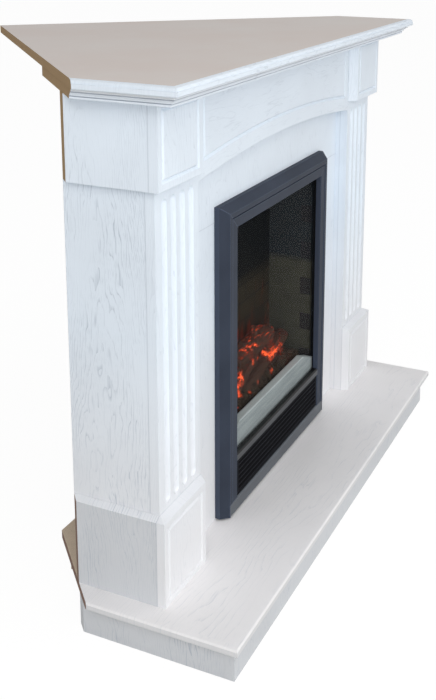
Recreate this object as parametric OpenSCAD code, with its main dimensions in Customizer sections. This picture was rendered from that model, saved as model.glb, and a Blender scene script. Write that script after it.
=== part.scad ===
// Corner fireplace: a film-covered board surround that stands in the corner of a room,
// with an electric fire in its opening. Millimetres, +Z up, the front faces -Y.
// Modules draw in a frame whose y = 0 is the front face of the field, the flat panel round the
// fire, and placed() then moves them so that the origin is under the middle of the whole object.
// The two walls of the room's corner are the vertical planes |x| + y = wall_line.

/* [Overall] */
// Height from the floor to the top of the mantel
total_h = 1000; // [960:5:1060]
// Distance from the field's front face to the room corner, measured along Y
wall_line = 680; // [664:1:700]
// How far the parts under the mantel stay clear of the walls
wall_gap = 2; // [1:1:5]
// Thickness of the mantel top and the hearth board
board_t = 16; // [16:1:19]
// Thickness of the facing, side and field boards
facing_t = 18; // [16:1:19]

/* [Mantel] */
// Half width of the mantel's flat top
mantel_half_w = 600; // [585:1:620]
// How far the flat top reaches in front of the field
mantel_front = 103; // [95:1:115]
// How far the nose of a board stands out past its flat top
nose_out = 12; // [8:1:14]
// Thickness of the moulded board under the mantel
cornice_t = 18; // [16:1:20]
// Set back of the moulded board's lower edge behind the mantel's flat top
cornice_setback = 10; // [8:1:14]
// Where the moulded board ends at the back
cornice_back = 268; // [240:1:290]

/* [Pilasters and frieze] */
// Outer half width over the pilasters
pilaster_out = 533; // [525:1:540]
// Half width between the pilasters' inner edges
pilaster_in = 382; // [375:1:388]
// Thickness of the fluted boards and the frieze board
front_t = 28; // [25:1:30]
// Depth of the side panels behind the field's front face
side_back = 145; // [130:1:150]
// Number of flutes in each pilaster
flute_count = 4; // [3:1:5]
// Distance from flute to flute
flute_pitch = 31; // [28:1:31]
// Width of a flute at the face
flute_w = 20; // [16:1:22]
// Depth of a flute
flute_d = 6; // [4:1:8]
// Lower edge of the frieze at its middle
arch_z = 822; // [815:1:830]
// Rise of the frieze's arched edge from its ends to its middle
arch_rise = 24; // [15:1:30]
// Width of the routed panel grooves
groove_w = 8; // [6:1:10]
// Depth of the routed panel grooves
groove_d = 4; // [3:1:5]
// Height of the routed arch above the frieze's lower edge
groove_lift = 33; // [28:1:36]
// Half width of the frieze's routed panel
frieze_panel_half = 360; // [350:1:362]

/* [Blocks and plinths] */
// Underside of the blocks at the top of the pilasters
block_z = 819; // [812:1:826]
// Front thickness of a block, and its cheek
block_t = 18; // [16:1:19]
// Top of the plinths where they meet the pilasters
plinth_z = 246; // [236:1:256]
// Front thickness of a plinth
plinth_t = 16; // [15:1:18]
// Thickness of a plinth's cheek
plinth_cheek_t = 12; // [10:1:16]
// Fall of the plinth's sloping top
plinth_fall = 7; // [5:1:9]
// Distance from a block's or plinth's edge to its routed panel
panel_margin = 16; // [14:1:18]

/* [Hearth] */
// Top of the hearth
hearth_z = 78; // [72:1:82]
// Half width of the hearth's flat top
hearth_half_w = 576; // [565:1:590]
// How far the hearth's flat top reaches in front of the field
hearth_front = 189; // [180:1:200]
// Where the hearth ends at the back
hearth_back = 255; // [245:1:265]
// Set back of the skirt behind the flat top's edge in front
skirt_setback = 3; // [2:1:6]
// Set back of the skirt behind the flat top's edge at the sides
skirt_side_setback = 9; // [6:1:12]

/* [Fire] */
// Half width of the fire's trim
trim_half_w = 268; // [266:1:272]
// Underside of the trim
trim_z0 = 82; // [80:1:84]
// Top of the trim
trim_z1 = 720; // [714:1:726]
// Width of the trim's top and side members
trim_w = 48; // [46:1:50]
// How far the trim stands in front of the field
trim_out = 27; // [26:1:29]
// Height of the trim's bottom bar
bar_h = 27; // [25:1:28]
// Underside of the rail between the grille and the glass
rail_z = 188; // [186:1:190]
// Height of that rail
rail_h = 15; // [14:1:16]
// Half width of the steel case
case_half_w = 242; // [240:1:243]
// Back of the steel case
case_back = 172; // [170:1:180]
// Thickness of the case's sheet steel
sheet_t = 2; // [1.5:0.5:2]
// Depth from the field's front face to the flame screen
firebox_d = 106; // [104:1:108]
// Height of the light kerb in front of the embers
kerb_h = 56; // [50:1:60]

/* [Grille and controls] */
// Number of louvre slats
slat_count = 6; // [5:1:7]
// Radius of the grille's pivot pins
pivot_r = 1.5; // [1.5:0.1:1.7]
// Radius of the thermostat knob
knob_r = 12; // [10:1:13]
// Tilt of a rocker switch to either side
rocker_tilt = 8; // [6:1:9]
// Radius of the cross-flow blower wheel
wheel_r = 32; // [28:1:34]
// Running clearance of a shaft in its bore
run_gap = 0.05; // [0.03:0.01:0.1]

/* [Hidden] */

$fn = 48;
white = [0.87, 0.9, 0.93];
raw_board = [0.62, 0.5, 0.38];
graphite = [0.24, 0.27, 0.32];
black_steel = [0.12, 0.12, 0.13];
zinc = [0.72, 0.74, 0.76];
brick = [0.3, 0.29, 0.23];
ember = [0.45, 0.15, 0.08];
stone = [0.78, 0.79, 0.79];

cornice_top = total_h - board_t;
cornice_z = cornice_top - cornice_t;
front_y = -front_t;                      // front face of the pilasters and the frieze
block_front_y = front_y - block_t;
block_out = pilaster_out + block_t;
plinth_front_y = front_y - plinth_t;
plinth_out = pilaster_out + plinth_cheek_t;
opening_half = trim_half_w - trim_w;     // half width of the trim's clear opening
lip_y = 1 - trim_out;                    // front face of the trim's inner strip
lip_back_y = lip_y + 12;                 // back of that strip, where the glass lies
ridge_w = 14;                            // distance from the trim's edge to its flat ridge
deck_z = rail_z + 4;                     // underside of the deck that carries the embers
case_in = case_half_w - sheet_t;
case_top_z = trim_z1 - 37;
header_z = case_top_z + 7;               // underside of the header, the top of the opening
carcass_line = wall_line - wall_gap;     // wall line of everything under the mantel
middle_y = (wall_line - 2 - hearth_front - nose_out) / 2;
stile_in = case_half_w + 4;
big = 2000;

// ---------- shared shapes ----------

// Board plan: square front, straight sides, corners cut to the walls, and a straight back.
module corner_plan(half_w, front, wall, back) {
    side_end = wall - half_w;
    back_half = wall - back;
    polygon([[-half_w, -front], [half_w, -front], [half_w, side_end], [back_half, back],
             [-back_half, back], [-half_w, side_end]]);
}

// A profile of [outwards, height] points run along the front and both sides, with mitred corners.
module mitred_edge(profile, half_w, front, wall) {
    reach = max([for (p = profile) p[0]]) + 1;
    top = max([for (p = profile) p[1]]) + 1;
    intersection() {
        rotate([90, 0, 90])
            linear_extrude(2 * (half_w + reach), center = true)
                polygon([for (p = profile) [-front - p[0], p[1]]]);
        linear_extrude(top)
            polygon([[-half_w - reach, -front - reach], [half_w + reach, -front - reach],
                     [half_w - 1, -front + 1], [-half_w + 1, -front + 1]]);
    }
    for (side = [-1, 1])
        intersection() {
            rotate([90, 0, 0])
                linear_extrude(2 * wall, center = true)
                    polygon([for (p = profile) [side * (half_w + p[0]), p[1]]]);
            linear_extrude(top)
                polygon([[side * (half_w + reach), -front - reach],
                         [side * (half_w + reach), wall - half_w - reach],
                         [side * (half_w - 1), wall - half_w + 1],
                         [side * (half_w - 1), -front + 1]]);
        }
}

// Points of an arc, in equal steps.
function arc(cx, cy, r, from, to, steps = 8) =
    [for (i = [0 : steps]) let(a = from + (to - from) * i / steps) [cx + r * cos(a), cy + r * sin(a)]];

// A V groove along X of the given length, cut into a face that looks along -Y at y = 0.
module v_groove(length) {
    rotate([90, 0, 90])
        linear_extrude(length, center = true)
            polygon([[-1, -groove_w / 2 - groove_w / 8], [-1, groove_w / 2 + groove_w / 8],
                     [0, groove_w / 2], [groove_d, 0], [0, -groove_w / 2]]);
}

// The mitre wedge that trims one side of a groove frame.
module mitre_wedge(length) {
    g = groove_w;
    rotate([90, 0, 0])
        linear_extrude(4 * groove_d, center = true)
            polygon([[-length / 2 - g, -g], [length / 2 + g, -g], [length / 2 - g, g], [-length / 2 + g, g]]);
}

// A rectangular frame of V grooves, centred on the face.
module groove_frame(w, h) {
    for (turn = [0 : 3]) {
        run = turn % 2 == 0 ? w : h;
        off = turn % 2 == 0 ? h : w;
        rotate([0, 90 * turn, 0])
            translate([0, 0, -off / 2])
                intersection() {
                    v_groove(run + 2 * groove_w);
                    mitre_wedge(run);
                }
    }
}

// Children drawn for the left side as they are, or mirrored for the right side.
module on_side(side) {
    mirror([side > 0 ? 1 : 0, 0, 0]) children();
}

// Moves the drawing frame to the object's own frame.
module placed() {
    translate([0, -middle_y, 0]) children();
}

// A plain board between two corners.
module board(from, to) {
    translate(from) cube([for (i = [0 : 2]) to[i] - from[i]]);
}

// ---------- mantel ----------

module mantel_shelf() {
    z = cornice_top;
    nose = concat([[-1, z], [nose_out - 2, z], [nose_out, z + 1.5], [nose_out, total_h - 7],
                   [nose_out - 1.5, total_h - 7], [nose_out - 1.5, total_h - 5.5]],
                  arc(nose_out - 6.5, total_h - 5.5, 5, 0, 60, 6),
                  [[0, total_h], [-1, total_h]]);
    color(white) {
        translate([0, 0, z])
            linear_extrude(board_t)
                corner_plan(mantel_half_w, mantel_front, wall_line, wall_line - 2);
        mitred_edge(nose, mantel_half_w, mantel_front, wall_line);
    }
}

module cornice_board() {
    core_half = mantel_half_w - cornice_setback;
    core_front = mantel_front - cornice_setback;
    low = cornice_z + 5;                 // foot of the hollow between the two flat bands
    high = cornice_top - 6.5;
    edge = [[-1, cornice_z], [1, cornice_z], [1, low - 1.5], [-0.2, low - 1.2], [-0.2, low - 0.2],
            [3, low], [4.2, low + 2.6], [6.4, high - 1.5], [9, high], [7.6, high + 0.5],
            [7.6, high + 1.5], [12, high + 1.5], [12, cornice_top - 0.8], [11.2, cornice_top],
            [-1, cornice_top]];
    color(white)
        screwed() {
            translate([0, 0, cornice_z])
                linear_extrude(cornice_t)
                    corner_plan(core_half, core_front, carcass_line, cornice_back);
            mitred_edge(edge, core_half, core_front, carcass_line);
        }
}

// ---------- frieze, pilasters, blocks and plinths ----------

arch_r = (pilaster_in * pilaster_in + arch_rise * arch_rise) / (2 * arch_rise);
groove_r = arch_r + groove_lift;
frieze_top_groove = cornice_z - panel_margin;
frieze_side_foot = arch_z - arch_r + sqrt(groove_r * groove_r - frieze_panel_half * frieze_panel_half);

module frieze_board() {
    side_h = frieze_top_groove - frieze_side_foot;
    color(white)
        difference() {
            board([-pilaster_in, front_y, arch_z - arch_rise], [pilaster_in, 0, cornice_z]);
            translate([0, 0, arch_z - arch_r])
                rotate([90, 0, 0])
                    cylinder(h = 4 * front_t, r = arch_r, center = true, $fn = 720);
            // the arched groove
            intersection() {
                translate([0, front_y, arch_z - arch_r])
                    rotate([-90, 0, 0])
                        rotate_extrude($fn = 720)
                            polygon([[groove_r - groove_w / 2, -1], [groove_r + groove_w / 2, -1],
                                     [groove_r + groove_w / 2, 0], [groove_r, groove_d],
                                     [groove_r - groove_w / 2, 0]]);
                board([-frieze_panel_half - groove_w / 4, -big / 2, arch_z],
                      [frieze_panel_half + groove_w / 4, 0, cornice_z]);
            }
            // the straight top groove and the two upright ones
            translate([0, front_y, frieze_top_groove])
                intersection() {
                    v_groove(2 * frieze_panel_half + 2 * groove_w);
                    rotate([0, 180, 0]) mitre_wedge(2 * frieze_panel_half);
                }
            for (side = [-1, 1])
                translate([side * frieze_panel_half, front_y, frieze_side_foot + side_h / 2])
                    rotate([0, -90 * side, 0])
                        intersection() {
                            v_groove(side_h + 2 * groove_w);
                            mitre_wedge(side_h);
                        }
        }
}

// One half-round flute with ball ends, standing on its lower end's centre.
module flute(length) {
    r = (flute_w * flute_w / 4 + flute_d * flute_d) / (2 * flute_d);
    translate([0, flute_d - r, 0]) {
        cylinder(h = length, r = r);
        sphere(r);
        translate([0, 0, length]) sphere(r);
    }
}

module pilaster_front(side) {
    middle = (pilaster_in + pilaster_out) / 2;
    low = plinth_z + 10 + flute_w / 2;
    high = block_z - 21 - flute_w / 2;
    color(white)
        on_side(side)
            difference() {
                board([-pilaster_out, front_y, hearth_z], [-pilaster_in, 0, cornice_z]);
                board([-pilaster_out - 1, front_y + facing_t, hearth_z - 1],
                      [-pilaster_out + facing_t, 1, cornice_z + 1]);
                for (i = [0 : flute_count - 1])
                    translate([-middle + (i - (flute_count - 1) / 2) * flute_pitch, front_y, low])
                        flute(high - low);
            }
}

module pilaster_side(side) {
    color(white)
        screwed()
            on_side(side)
                board([-pilaster_out, front_y + facing_t, hearth_z],
                      [-pilaster_out + facing_t, side_back, cornice_z]);
}

// A facing board's plan: its inner edge is bevelled back to the pilaster's inner edge.
module facing_plan(out, depth, bevel) {
    polygon([[-out, front_y], [-out, front_y - depth], [-pilaster_in - bevel, front_y - depth],
             [-pilaster_in, front_y]]);
}

module block_front(side) {
    inner = pilaster_in + block_t;
    h = cornice_z - block_z;
    color(white)
        on_side(side)
            difference() {
                translate([0, 0, block_z])
                    linear_extrude(h) facing_plan(block_out, block_t, block_t);
                translate([-(inner + block_out) / 2, block_front_y, block_z + h / 2])
                    groove_frame(block_out - inner - 2 * panel_margin, h - 2 * panel_margin);
            }
}

// Cheek overlay: a thin board on the side panel, its back edge cut to the wall.
module cheek(thick, low, high) {
    out = pilaster_out + thick;
    translate([0, 0, low])
        linear_extrude(high - low)
            polygon([[-out, front_y], [-pilaster_out, front_y], [-pilaster_out, carcass_line - pilaster_out],
                     [-out, carcass_line - out]]);
}

module block_cheek(side) {
    color(white) on_side(side) cheek(block_t, block_z, cornice_z);
}

// Upper limit of a plinth: level over the pilaster, then falling outwards past the given edge.
module sloped_top(edge, run) {
    polygon([[0, 0], [-edge - run, 0], [-edge - run, plinth_z - plinth_fall], [-edge, plinth_z],
             [0, plinth_z]]);
}

module plinth_front(side) {
    inner = pilaster_in + plinth_cheek_t - 1;
    face_h = plinth_z - plinth_fall - hearth_z;
    panel_h = face_h - 2 * panel_margin + 6;
    color(white)
        on_side(side)
            difference() {
                intersection() {
                    translate([0, 0, hearth_z])
                        linear_extrude(plinth_z - hearth_z)
                            facing_plan(plinth_out, plinth_t, plinth_cheek_t - 1);
                    rotate([90, 0, 0])
                        linear_extrude(big, center = true) sloped_top(pilaster_out, plinth_cheek_t);
                    rotate([90, 0, 90])
                        linear_extrude(big, center = true) sloped_top(-front_y, plinth_t);
                }
                translate([-(inner + plinth_out) / 2, plinth_front_y, hearth_z + 10 + panel_h / 2])
                    groove_frame(plinth_out - inner - 2 * panel_margin, panel_h);
            }
}

module plinth_cheek(side) {
    color(white)
        on_side(side)
            intersection() {
                cheek(plinth_cheek_t, hearth_z, plinth_z);
                rotate([90, 0, 0])
                    linear_extrude(big, center = true) sloped_top(pilaster_out, plinth_cheek_t);
            }
}

// ---------- field and carcass ----------

side_in = pilaster_out - facing_t;

module header_panel() {
    color(white) screwed() board([-side_in, 0, header_z], [side_in, facing_t, cornice_z]);
}

module stile_panel(side) {
    color(white)
        screwed() on_side(side) board([-side_in, 0, hearth_z], [-stile_in, facing_t, header_z]);
}

module fixing_battens() {
    color(raw_board)
        for (side = [-1, 1])
            on_side(side)
                board([-stile_in - 36, facing_t, hearth_z], [-stile_in - 8, facing_t + 22, header_z + 60]);
}

module back_rail() {
    color(raw_board)
        screwed() board([-side_in, side_back - facing_t, cornice_z - 80], [side_in, side_back, cornice_z]);
}

// ---------- hearth ----------

skirt_half = hearth_half_w - skirt_side_setback;
skirt_y = -(hearth_front - skirt_setback);
skirt_top = hearth_z - board_t;
rib_back = hearth_back - 20;
butt_gap = 0.3;                          // the ribs stop just short of the back rail

module hearth_slab() {
    mid = (skirt_top + hearth_z) / 2;
    nose = concat([[-1, skirt_top], [nose_out - 8, skirt_top]],
                  arc(nose_out - 4, mid - 3, 4, -70, 0, 5),
                  arc(nose_out - 5, mid + 3, 5, 0, 65, 5),
                  [[0, hearth_z], [-1, hearth_z]]);
    color(white)
        screwed() {
            translate([0, 0, skirt_top])
                linear_extrude(board_t)
                    corner_plan(hearth_half_w, hearth_front, carcass_line, hearth_back);
            mitred_edge(nose, hearth_half_w, hearth_front, carcass_line);
        }
}

module hearth_front_skirt() {
    color(white) board([-skirt_half, skirt_y, 0], [skirt_half, skirt_y + facing_t, skirt_top]);
}

module hearth_skirt(side) {
    x = skirt_half - facing_t;
    color(white)
        on_side(side)
            linear_extrude(skirt_top)
                polygon([[-skirt_half, skirt_y + facing_t], [-x, skirt_y + facing_t],
                         [-x, carcass_line - x], [-skirt_half, carcass_line - skirt_half]]);
}

module hearth_ribs() {
    color(raw_board) {
        for (x = [-330, 0, 330])
            board([x - facing_t / 2, skirt_y + facing_t, 0],
                  [x + facing_t / 2, rib_back - facing_t - butt_gap, skirt_top]);
        board([-carcass_line + rib_back + facing_t, rib_back - facing_t, 0],
              [carcass_line - rib_back - facing_t, rib_back, skirt_top]);
    }
}

// ---------- brackets and their screws ----------

bracket_leg = 40;
bracket_w = 20;
bracket_t = 2.5;
screw_r = 2;
screw_len = 15;
screw_in = 28;                           // distance from the corner to a screw
// Corner line, turn about Z and which way up: +1 under a board, -1 standing on one.
bracket_places = [
    for (x = [-300, 0, 300]) [[x, facing_t, cornice_z], 0, 1],
    for (x = [-300, 300]) [[x, side_back - facing_t, cornice_z], 180, 1],
    for (x = [-420, 420]) [[x, facing_t, hearth_z], 0, -1],
    for (side = [-1, 1]) [[side * side_in, 60, cornice_z], 90 * side, 1],
    for (side = [-1, 1]) [[side * side_in, 60, hearth_z], 90 * side, -1]];

module at_brackets() {
    for (b = bracket_places)
        translate(b[0]) rotate([0, 0, b[1]]) mirror([0, 0, b[2] < 0 ? 1 : 0]) children();
}

module angle_brackets() {
    color(zinc)
        at_brackets()
            difference() {
                union() {
                    board([-bracket_w / 2, 0, -bracket_t], [bracket_w / 2, bracket_leg, 0]);
                    board([-bracket_w / 2, 0, -bracket_leg], [bracket_w / 2, bracket_t, 0]);
                }
                translate([0, screw_in, 0]) cylinder(h = 20, r = screw_r + 0.5, center = true);
                translate([0, 0, -screw_in])
                    rotate([90, 0, 0]) cylinder(h = 20, r = screw_r + 0.5, center = true);
            }
}

// A pan-head screw that lies flat on the bracket, its shank towards +Z.
module screw() {
    translate([0, 0, -2.2]) cylinder(h = 2.2, r = 4);
    cylinder(h = screw_len, r = screw_r);
}

// Both screw places of every bracket; children point +Z into the board.
module at_screws() {
    at_brackets() {
        translate([0, screw_in, -bracket_t]) children();
        translate([0, bracket_t, -screw_in]) rotate([90, 0, 0]) children();
    }
}

module bracket_screws() {
    color(zinc) at_screws() screw();
}

// A board with the screws' holes taken out of it.
module screwed() {
    difference() {
        union() children();
        at_screws() cylinder(h = screw_len, r = screw_r);
    }
}

// ---------- trim, glass and grille ----------

trim_back_w = 22;                        // width of the part that lies against the field
// Section of the trim as [distance from its outer edge, distance out of the field].
trim_section = [[0, 0], [0, 10], [1.5, 12], [ridge_w, trim_out], [ridge_w + 10, trim_out],
                [ridge_w + 10.5, trim_out - 6], [ridge_w + 12.5, trim_out - 6],
                [ridge_w + 13, -lip_y], [trim_w - 1.5, -lip_y], [trim_w, -lip_y - 1.5],
                [trim_w, -lip_back_y], [trim_back_w, -lip_back_y], [trim_back_w, 0]];

module trim_side(side) {
    h = trim_z1 - trim_z0;
    color(graphite)
        on_side(side)
            difference() {
                translate([-trim_half_w, 0, trim_z0])
                    linear_extrude(h) polygon([for (p = trim_section) [p[0], -p[1]]]);
                // mitre at the top
                translate([-trim_half_w, 0, trim_z1])
                    rotate([90, 0, 0])
                        linear_extrude(4 * trim_out, center = true)
                            polygon([[-1, 1], [trim_w + 1, 1], [trim_w + 1, -trim_w - 1], [0, 0]]);
                // room for the bottom bar
                board([-trim_half_w + ridge_w, -trim_out - 1, trim_z0 - 1],
                      [-opening_half + 1, 1, trim_z0 + bar_h]);
                pivot_bore(pivot_r);
            }
}

module trim_top() {
    color(graphite)
        intersection() {
            translate([0, 0, trim_z1])
                rotate([90, 0, 90])
                    linear_extrude(2 * trim_half_w, center = true)
                        polygon([for (p = trim_section) [-p[1], -p[0]]]);
            translate([0, 0, trim_z1])
                rotate([90, 0, 0])
                    linear_extrude(4 * trim_out, center = true)
                        polygon([[-trim_half_w, 0], [trim_half_w, 0],
                                 [opening_half - 1, -trim_w - 1], [-opening_half + 1, -trim_w - 1]]);
        }
}

module trim_bottom_bar() {
    half = trim_half_w - ridge_w;
    color(graphite)
        rotate([90, 0, 90])
            linear_extrude(2 * half, center = true)
                polygon([[lip_back_y, trim_z0], [2 - trim_out, trim_z0], [-trim_out, trim_z0 + 2],
                         [-trim_out, trim_z0 + bar_h - 2], [2 - trim_out, trim_z0 + bar_h],
                         [lip_back_y, trim_z0 + bar_h]]);
}

glass_t = 4;
glass_lap = 9;                           // how far the glass reaches behind the trim

module glass_pane() {
    color([0.2, 0.22, 0.24, 0.4])
        board([-opening_half - glass_lap, lip_back_y, rail_z + glass_lap],
              [opening_half + glass_lap, lip_back_y + glass_t, trim_z1 - trim_w + glass_lap]);
}

module middle_rail() {
    color(graphite)
        rotate([90, 0, 90])
            linear_extrude(2 * opening_half, center = true)
                polygon([[lip_back_y, rail_z], [lip_y + 1, rail_z], [lip_y, rail_z + 1],
                         [lip_y, rail_z + rail_h - 3], [lip_y + 3, rail_z + rail_h],
                         [lip_back_y, rail_z + rail_h]]);
}

grille_half = opening_half - 2;
grille_z0 = trim_z0 + bar_h + 1.5;
grille_z1 = rail_z - 1.5;
grille_y = lip_y + 2;                    // front face of the grille
grille_t = 6;
grille_edge = 5;
pivot_y = grille_y + 2.2;
pivot_z = grille_z0 + 3.5;
pin_in = 6;                              // how far a pin reaches into the grille
pin_out = 6;                             // how far it sits in the trim

// The bore for the left pivot pin, with its axis along X.
module pivot_bore(r) {
    translate([-grille_half, pivot_y, pivot_z])
        rotate([0, 90, 0]) cylinder(h = 2 * (pin_in + pin_out), r = r, center = true);
}

module louvre_grille() {
    clear_h = grille_z1 - grille_z0 - 2 * grille_edge;
    pitch = clear_h / slat_count;
    inner = grille_half - grille_edge - 2;
    color(black_steel)
        difference() {
            union() {
                difference() {
                    board([-grille_half, grille_y, grille_z0], [grille_half, grille_y + grille_t, grille_z1]);
                    board([-inner, grille_y - 1, grille_z0 + grille_edge],
                          [inner, grille_y + grille_t + 1, grille_z1 - grille_edge]);
                }
                for (i = [0 : slat_count - 1])
                    translate([0, 0, grille_z0 + grille_edge + (i + 0.5) * pitch])
                        rotate([90, 0, 90])
                            linear_extrude(2 * inner + 1, center = true)
                                polygon([[grille_y, -3.2], [grille_y + grille_t, 1.4],
                                         [grille_y + grille_t, 3.2], [grille_y, -1.4]]);
            }
            for (side = [-1, 1]) on_side(side) pivot_bore(pivot_r + run_gap);
        }
}

module grille_pins() {
    color(zinc)
        for (side = [-1, 1])
            on_side(side)
                translate([-grille_half - pin_out, pivot_y, pivot_z])
                    rotate([0, 90, 0]) cylinder(h = pin_out + pin_in - 1, r = pivot_r);
}

// ---------- steel case ----------

gland_x = -150;
gland_z = 118;
gland_r = 9;
cable_r = 4;

module case_back_sheet() {
    color(black_steel)
        difference() {
            board([-case_half_w, case_back - sheet_t, hearth_z], [case_half_w, case_back, case_top_z]);
            for (row = [0 : 5])
                for (x = [-120, 0, 120])
                    translate([x, case_back, case_top_z - 60 - 16 * row])
                        cube([80, 8, 5], center = true);
            for (row = [0 : 3])
                translate([40, case_back, hearth_z + 30 + 14 * row]) cube([150, 8, 5], center = true);
            translate([gland_x, case_back, gland_z])
                rotate([90, 0, 0]) cylinder(h = 20, r = gland_r, center = true);
        }
}

module case_side(side) {
    color(black_steel)
        on_side(side)
            difference() {
                board([-case_half_w, lip_back_y, hearth_z], [-case_in, case_back - sheet_t, case_top_z]);
                if (side > 0)
                    translate([-case_half_w, rotor_y, rotor_z])
                        rotate([0, 90, 0]) cylinder(h = 20, r = rotor_shaft_r + run_gap, center = true);
            }
}

module case_top_sheet() {
    color(black_steel)
        board([-case_in, lip_back_y, case_top_z - sheet_t], [case_in, case_back - sheet_t, case_top_z]);
}

module case_floor_sheet() {
    color(black_steel)
        board([-case_in, lip_back_y, hearth_z], [case_in, case_back - sheet_t, hearth_z + sheet_t]);
}

module fire_deck() {
    color(black_steel)
        board([-case_in, 0, deck_z], [case_in, case_back - sheet_t, deck_z + sheet_t]);
}

module cable_gland() {
    color(black_steel)
        translate([gland_x, 0, gland_z])
            rotate([-90, 0, 0])
                difference() {
                    union() {
                        translate([0, 0, case_back - sheet_t]) cylinder(h = 14, r = gland_r);
                        translate([0, 0, case_back]) cylinder(h = 5, r = gland_r + 3, $fn = 6);
                        translate([0, 0, case_back - sheet_t - 3]) cylinder(h = 3, r = gland_r + 3);
                    }
                    cylinder(h = big, r = cable_r, center = true);
                }
}

// ---------- firebox ----------

liner_t = 9;
fire_half = case_in - liner_t;           // half width between the brick liners
bed_z = deck_z + sheet_t;                // the surface that carries the embers
kerb_y = lip_back_y + 5;                 // front face of the kerb, just behind the glass
kerb_t = 20;
kerb_fall = 22;                          // how far the kerb's top falls at each end
kerb_slope = 58;                         // length of that falling stretch

module brick_liner(side) {
    color(brick)
        on_side(side) board([-case_in, 0, bed_z], [-fire_half, firebox_d, case_top_z - sheet_t]);
}

module flame_screen() {
    color([0.16, 0.13, 0.12, 0.8])
        board([-case_in + 1, firebox_d, bed_z], [case_in - 1, firebox_d + 4, case_top_z - sheet_t]);
}

module front_kerb() {
    half = fire_half - 3;
    color(stone)
        intersection() {
            rotate([90, 0, 90])
                linear_extrude(2 * half, center = true)
                    polygon(concat([[kerb_y, bed_z], [kerb_y + kerb_t, bed_z]],
                                   arc(kerb_y + kerb_t - 5, bed_z + kerb_h - 5, 5, 0, 90, 4),
                                   arc(kerb_y + 3, bed_z + kerb_h - 3, 3, 90, 180, 4)));
            rotate([90, 0, 0])
                linear_extrude(4 * kerb_t, center = true)
                    polygon([[-half, bed_z], [half, bed_z], [half, bed_z + kerb_h - kerb_fall],
                             [half - kerb_slope, bed_z + kerb_h], [-half + kerb_slope, bed_z + kerb_h],
                             [-half, bed_z + kerb_h - kerb_fall]]);
        }
}

// Embers: a row of rough lumps along the bed.
module ember_lumps() {
    for (i = [0 : 12])
        translate([-198 + 33 * i, ember_y + 14 * sin(130 * i), bed_z + 36 + 6 * sin(200 * i)])
            sphere(20 + 4 * sin(77 * i), $fn = 24);
}

ember_h = 46;                            // height of the level part of the embers
ember_front = kerb_y + kerb_t + 1;
ember_back = firebox_d - 2;
ember_y = (ember_front + ember_back) / 2;

// Ember bed: a rough moulded mound behind the kerb, hollow below for the lamps.
module ember_bed() {
    color(ember)
        difference() {
            union() {
                board([-fire_half + 6, ember_front, bed_z], [fire_half - 6, ember_back, bed_z + ember_h]);
                ember_lumps();
            }
            board([-fire_half + 14, ember_front + 8, bed_z - 1],
                  [fire_half - 14, ember_back - 8, bed_z + 30]);
            board([-fire_half, -1, bed_z - 40], [fire_half, firebox_d + 1, bed_z]);
        }
}

// One round log between two end points, with the stub of a branch.
module log(from, to, r) {
    v = to - from;
    len = norm(v);
    translate(from)
        rotate([0, acos(v[2] / len), atan2(v[1], v[0])]) {
            cylinder(h = len, r1 = r, r2 = r * 0.86);
            translate([0, 0, len * 0.55])
                rotate([0, -60, 20]) cylinder(h = 1.8 * r, r1 = r * 0.45, r2 = r * 0.35);
        }
}

module log_set() {
    z = bed_z + 62;
    color([0.2, 0.13, 0.1])
        difference() {
            union() {
                log([-196, 74, z + 2], [150, 78, z + 26], 22);
                log([-70, 40, z - 6], [200, 58, z + 30], 19);
                log([-168, 38, z - 8], [40, 60, z + 40], 17);
                log([-70, 60, z + 62], [128, 64, z + 62], 24);
            }
            board([-fire_half, -1, bed_z - 1], [fire_half, firebox_d + 1, bed_z + ember_h]);
            ember_lumps();
        }
}

module lamps() {
    z = bed_z + 15;                      // height of the lamps' axes; each holder stands on the deck
    color([0.95, 0.75, 0.45])
        for (x = [-130, 0, 130])
            translate([x, ember_y, z]) {
                rotate([0, 90, 0]) cylinder(h = 40, r = 9, center = true);
                translate([28, 0, 0]) sphere(11);
                board([-32, -11, -15], [-20, 11, 12]);
            }
}

// ---------- flame rotor ----------

rotor_y = firebox_d + 28;
rotor_z = bed_z + 60;
rotor_shaft_r = 3;
rotor_vane = 15;
rotor_motor_r = 20;
rotor_motor_x = -case_in + 26;

module flame_rotor() {
    color(zinc)
        translate([0, rotor_y, rotor_z])
            rotate([0, 90, 0]) {
                translate([0, 0, rotor_motor_x - 8])
                    cylinder(h = case_half_w - rotor_motor_x + 8, r = rotor_shaft_r);
                for (i = [0 : 15])
                    translate([0, 0, rotor_motor_x + 22 + 26 * i])
                        rotate([0, 0, 55 * i])
                            translate([0, -6, 0]) cube([rotor_vane, 12, 1]);
            }
}

module rotor_motor() {
    color(zinc)
        difference() {
            translate([-case_in, rotor_y, rotor_z])
                rotate([0, 90, 0]) cylinder(h = rotor_motor_x + case_in, r = rotor_motor_r);
            translate([rotor_motor_x - 8.5, rotor_y, rotor_z])
                rotate([0, 90, 0]) cylinder(h = 30, r = rotor_shaft_r + run_gap);
        }
}

// ---------- fan heater ----------

wheel_y = 104;
wheel_half = 88;
housing_r = wheel_r + 7;
wheel_z = hearth_z + sheet_t + housing_r;
shaft_r = 3;
duct_top = wheel_z + housing_r;
duct_low = duct_top - 36;
duct_y = 30;                             // front of the air duct

// Side view of the blower's air way, wall included or not.
module air_way(grow) {
    translate([wheel_y, wheel_z]) circle(housing_r - 2 + grow);
    translate([duct_y, duct_low + 2 - grow]) square([wheel_y - duct_y, 32 + 2 * grow]);
}

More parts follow.
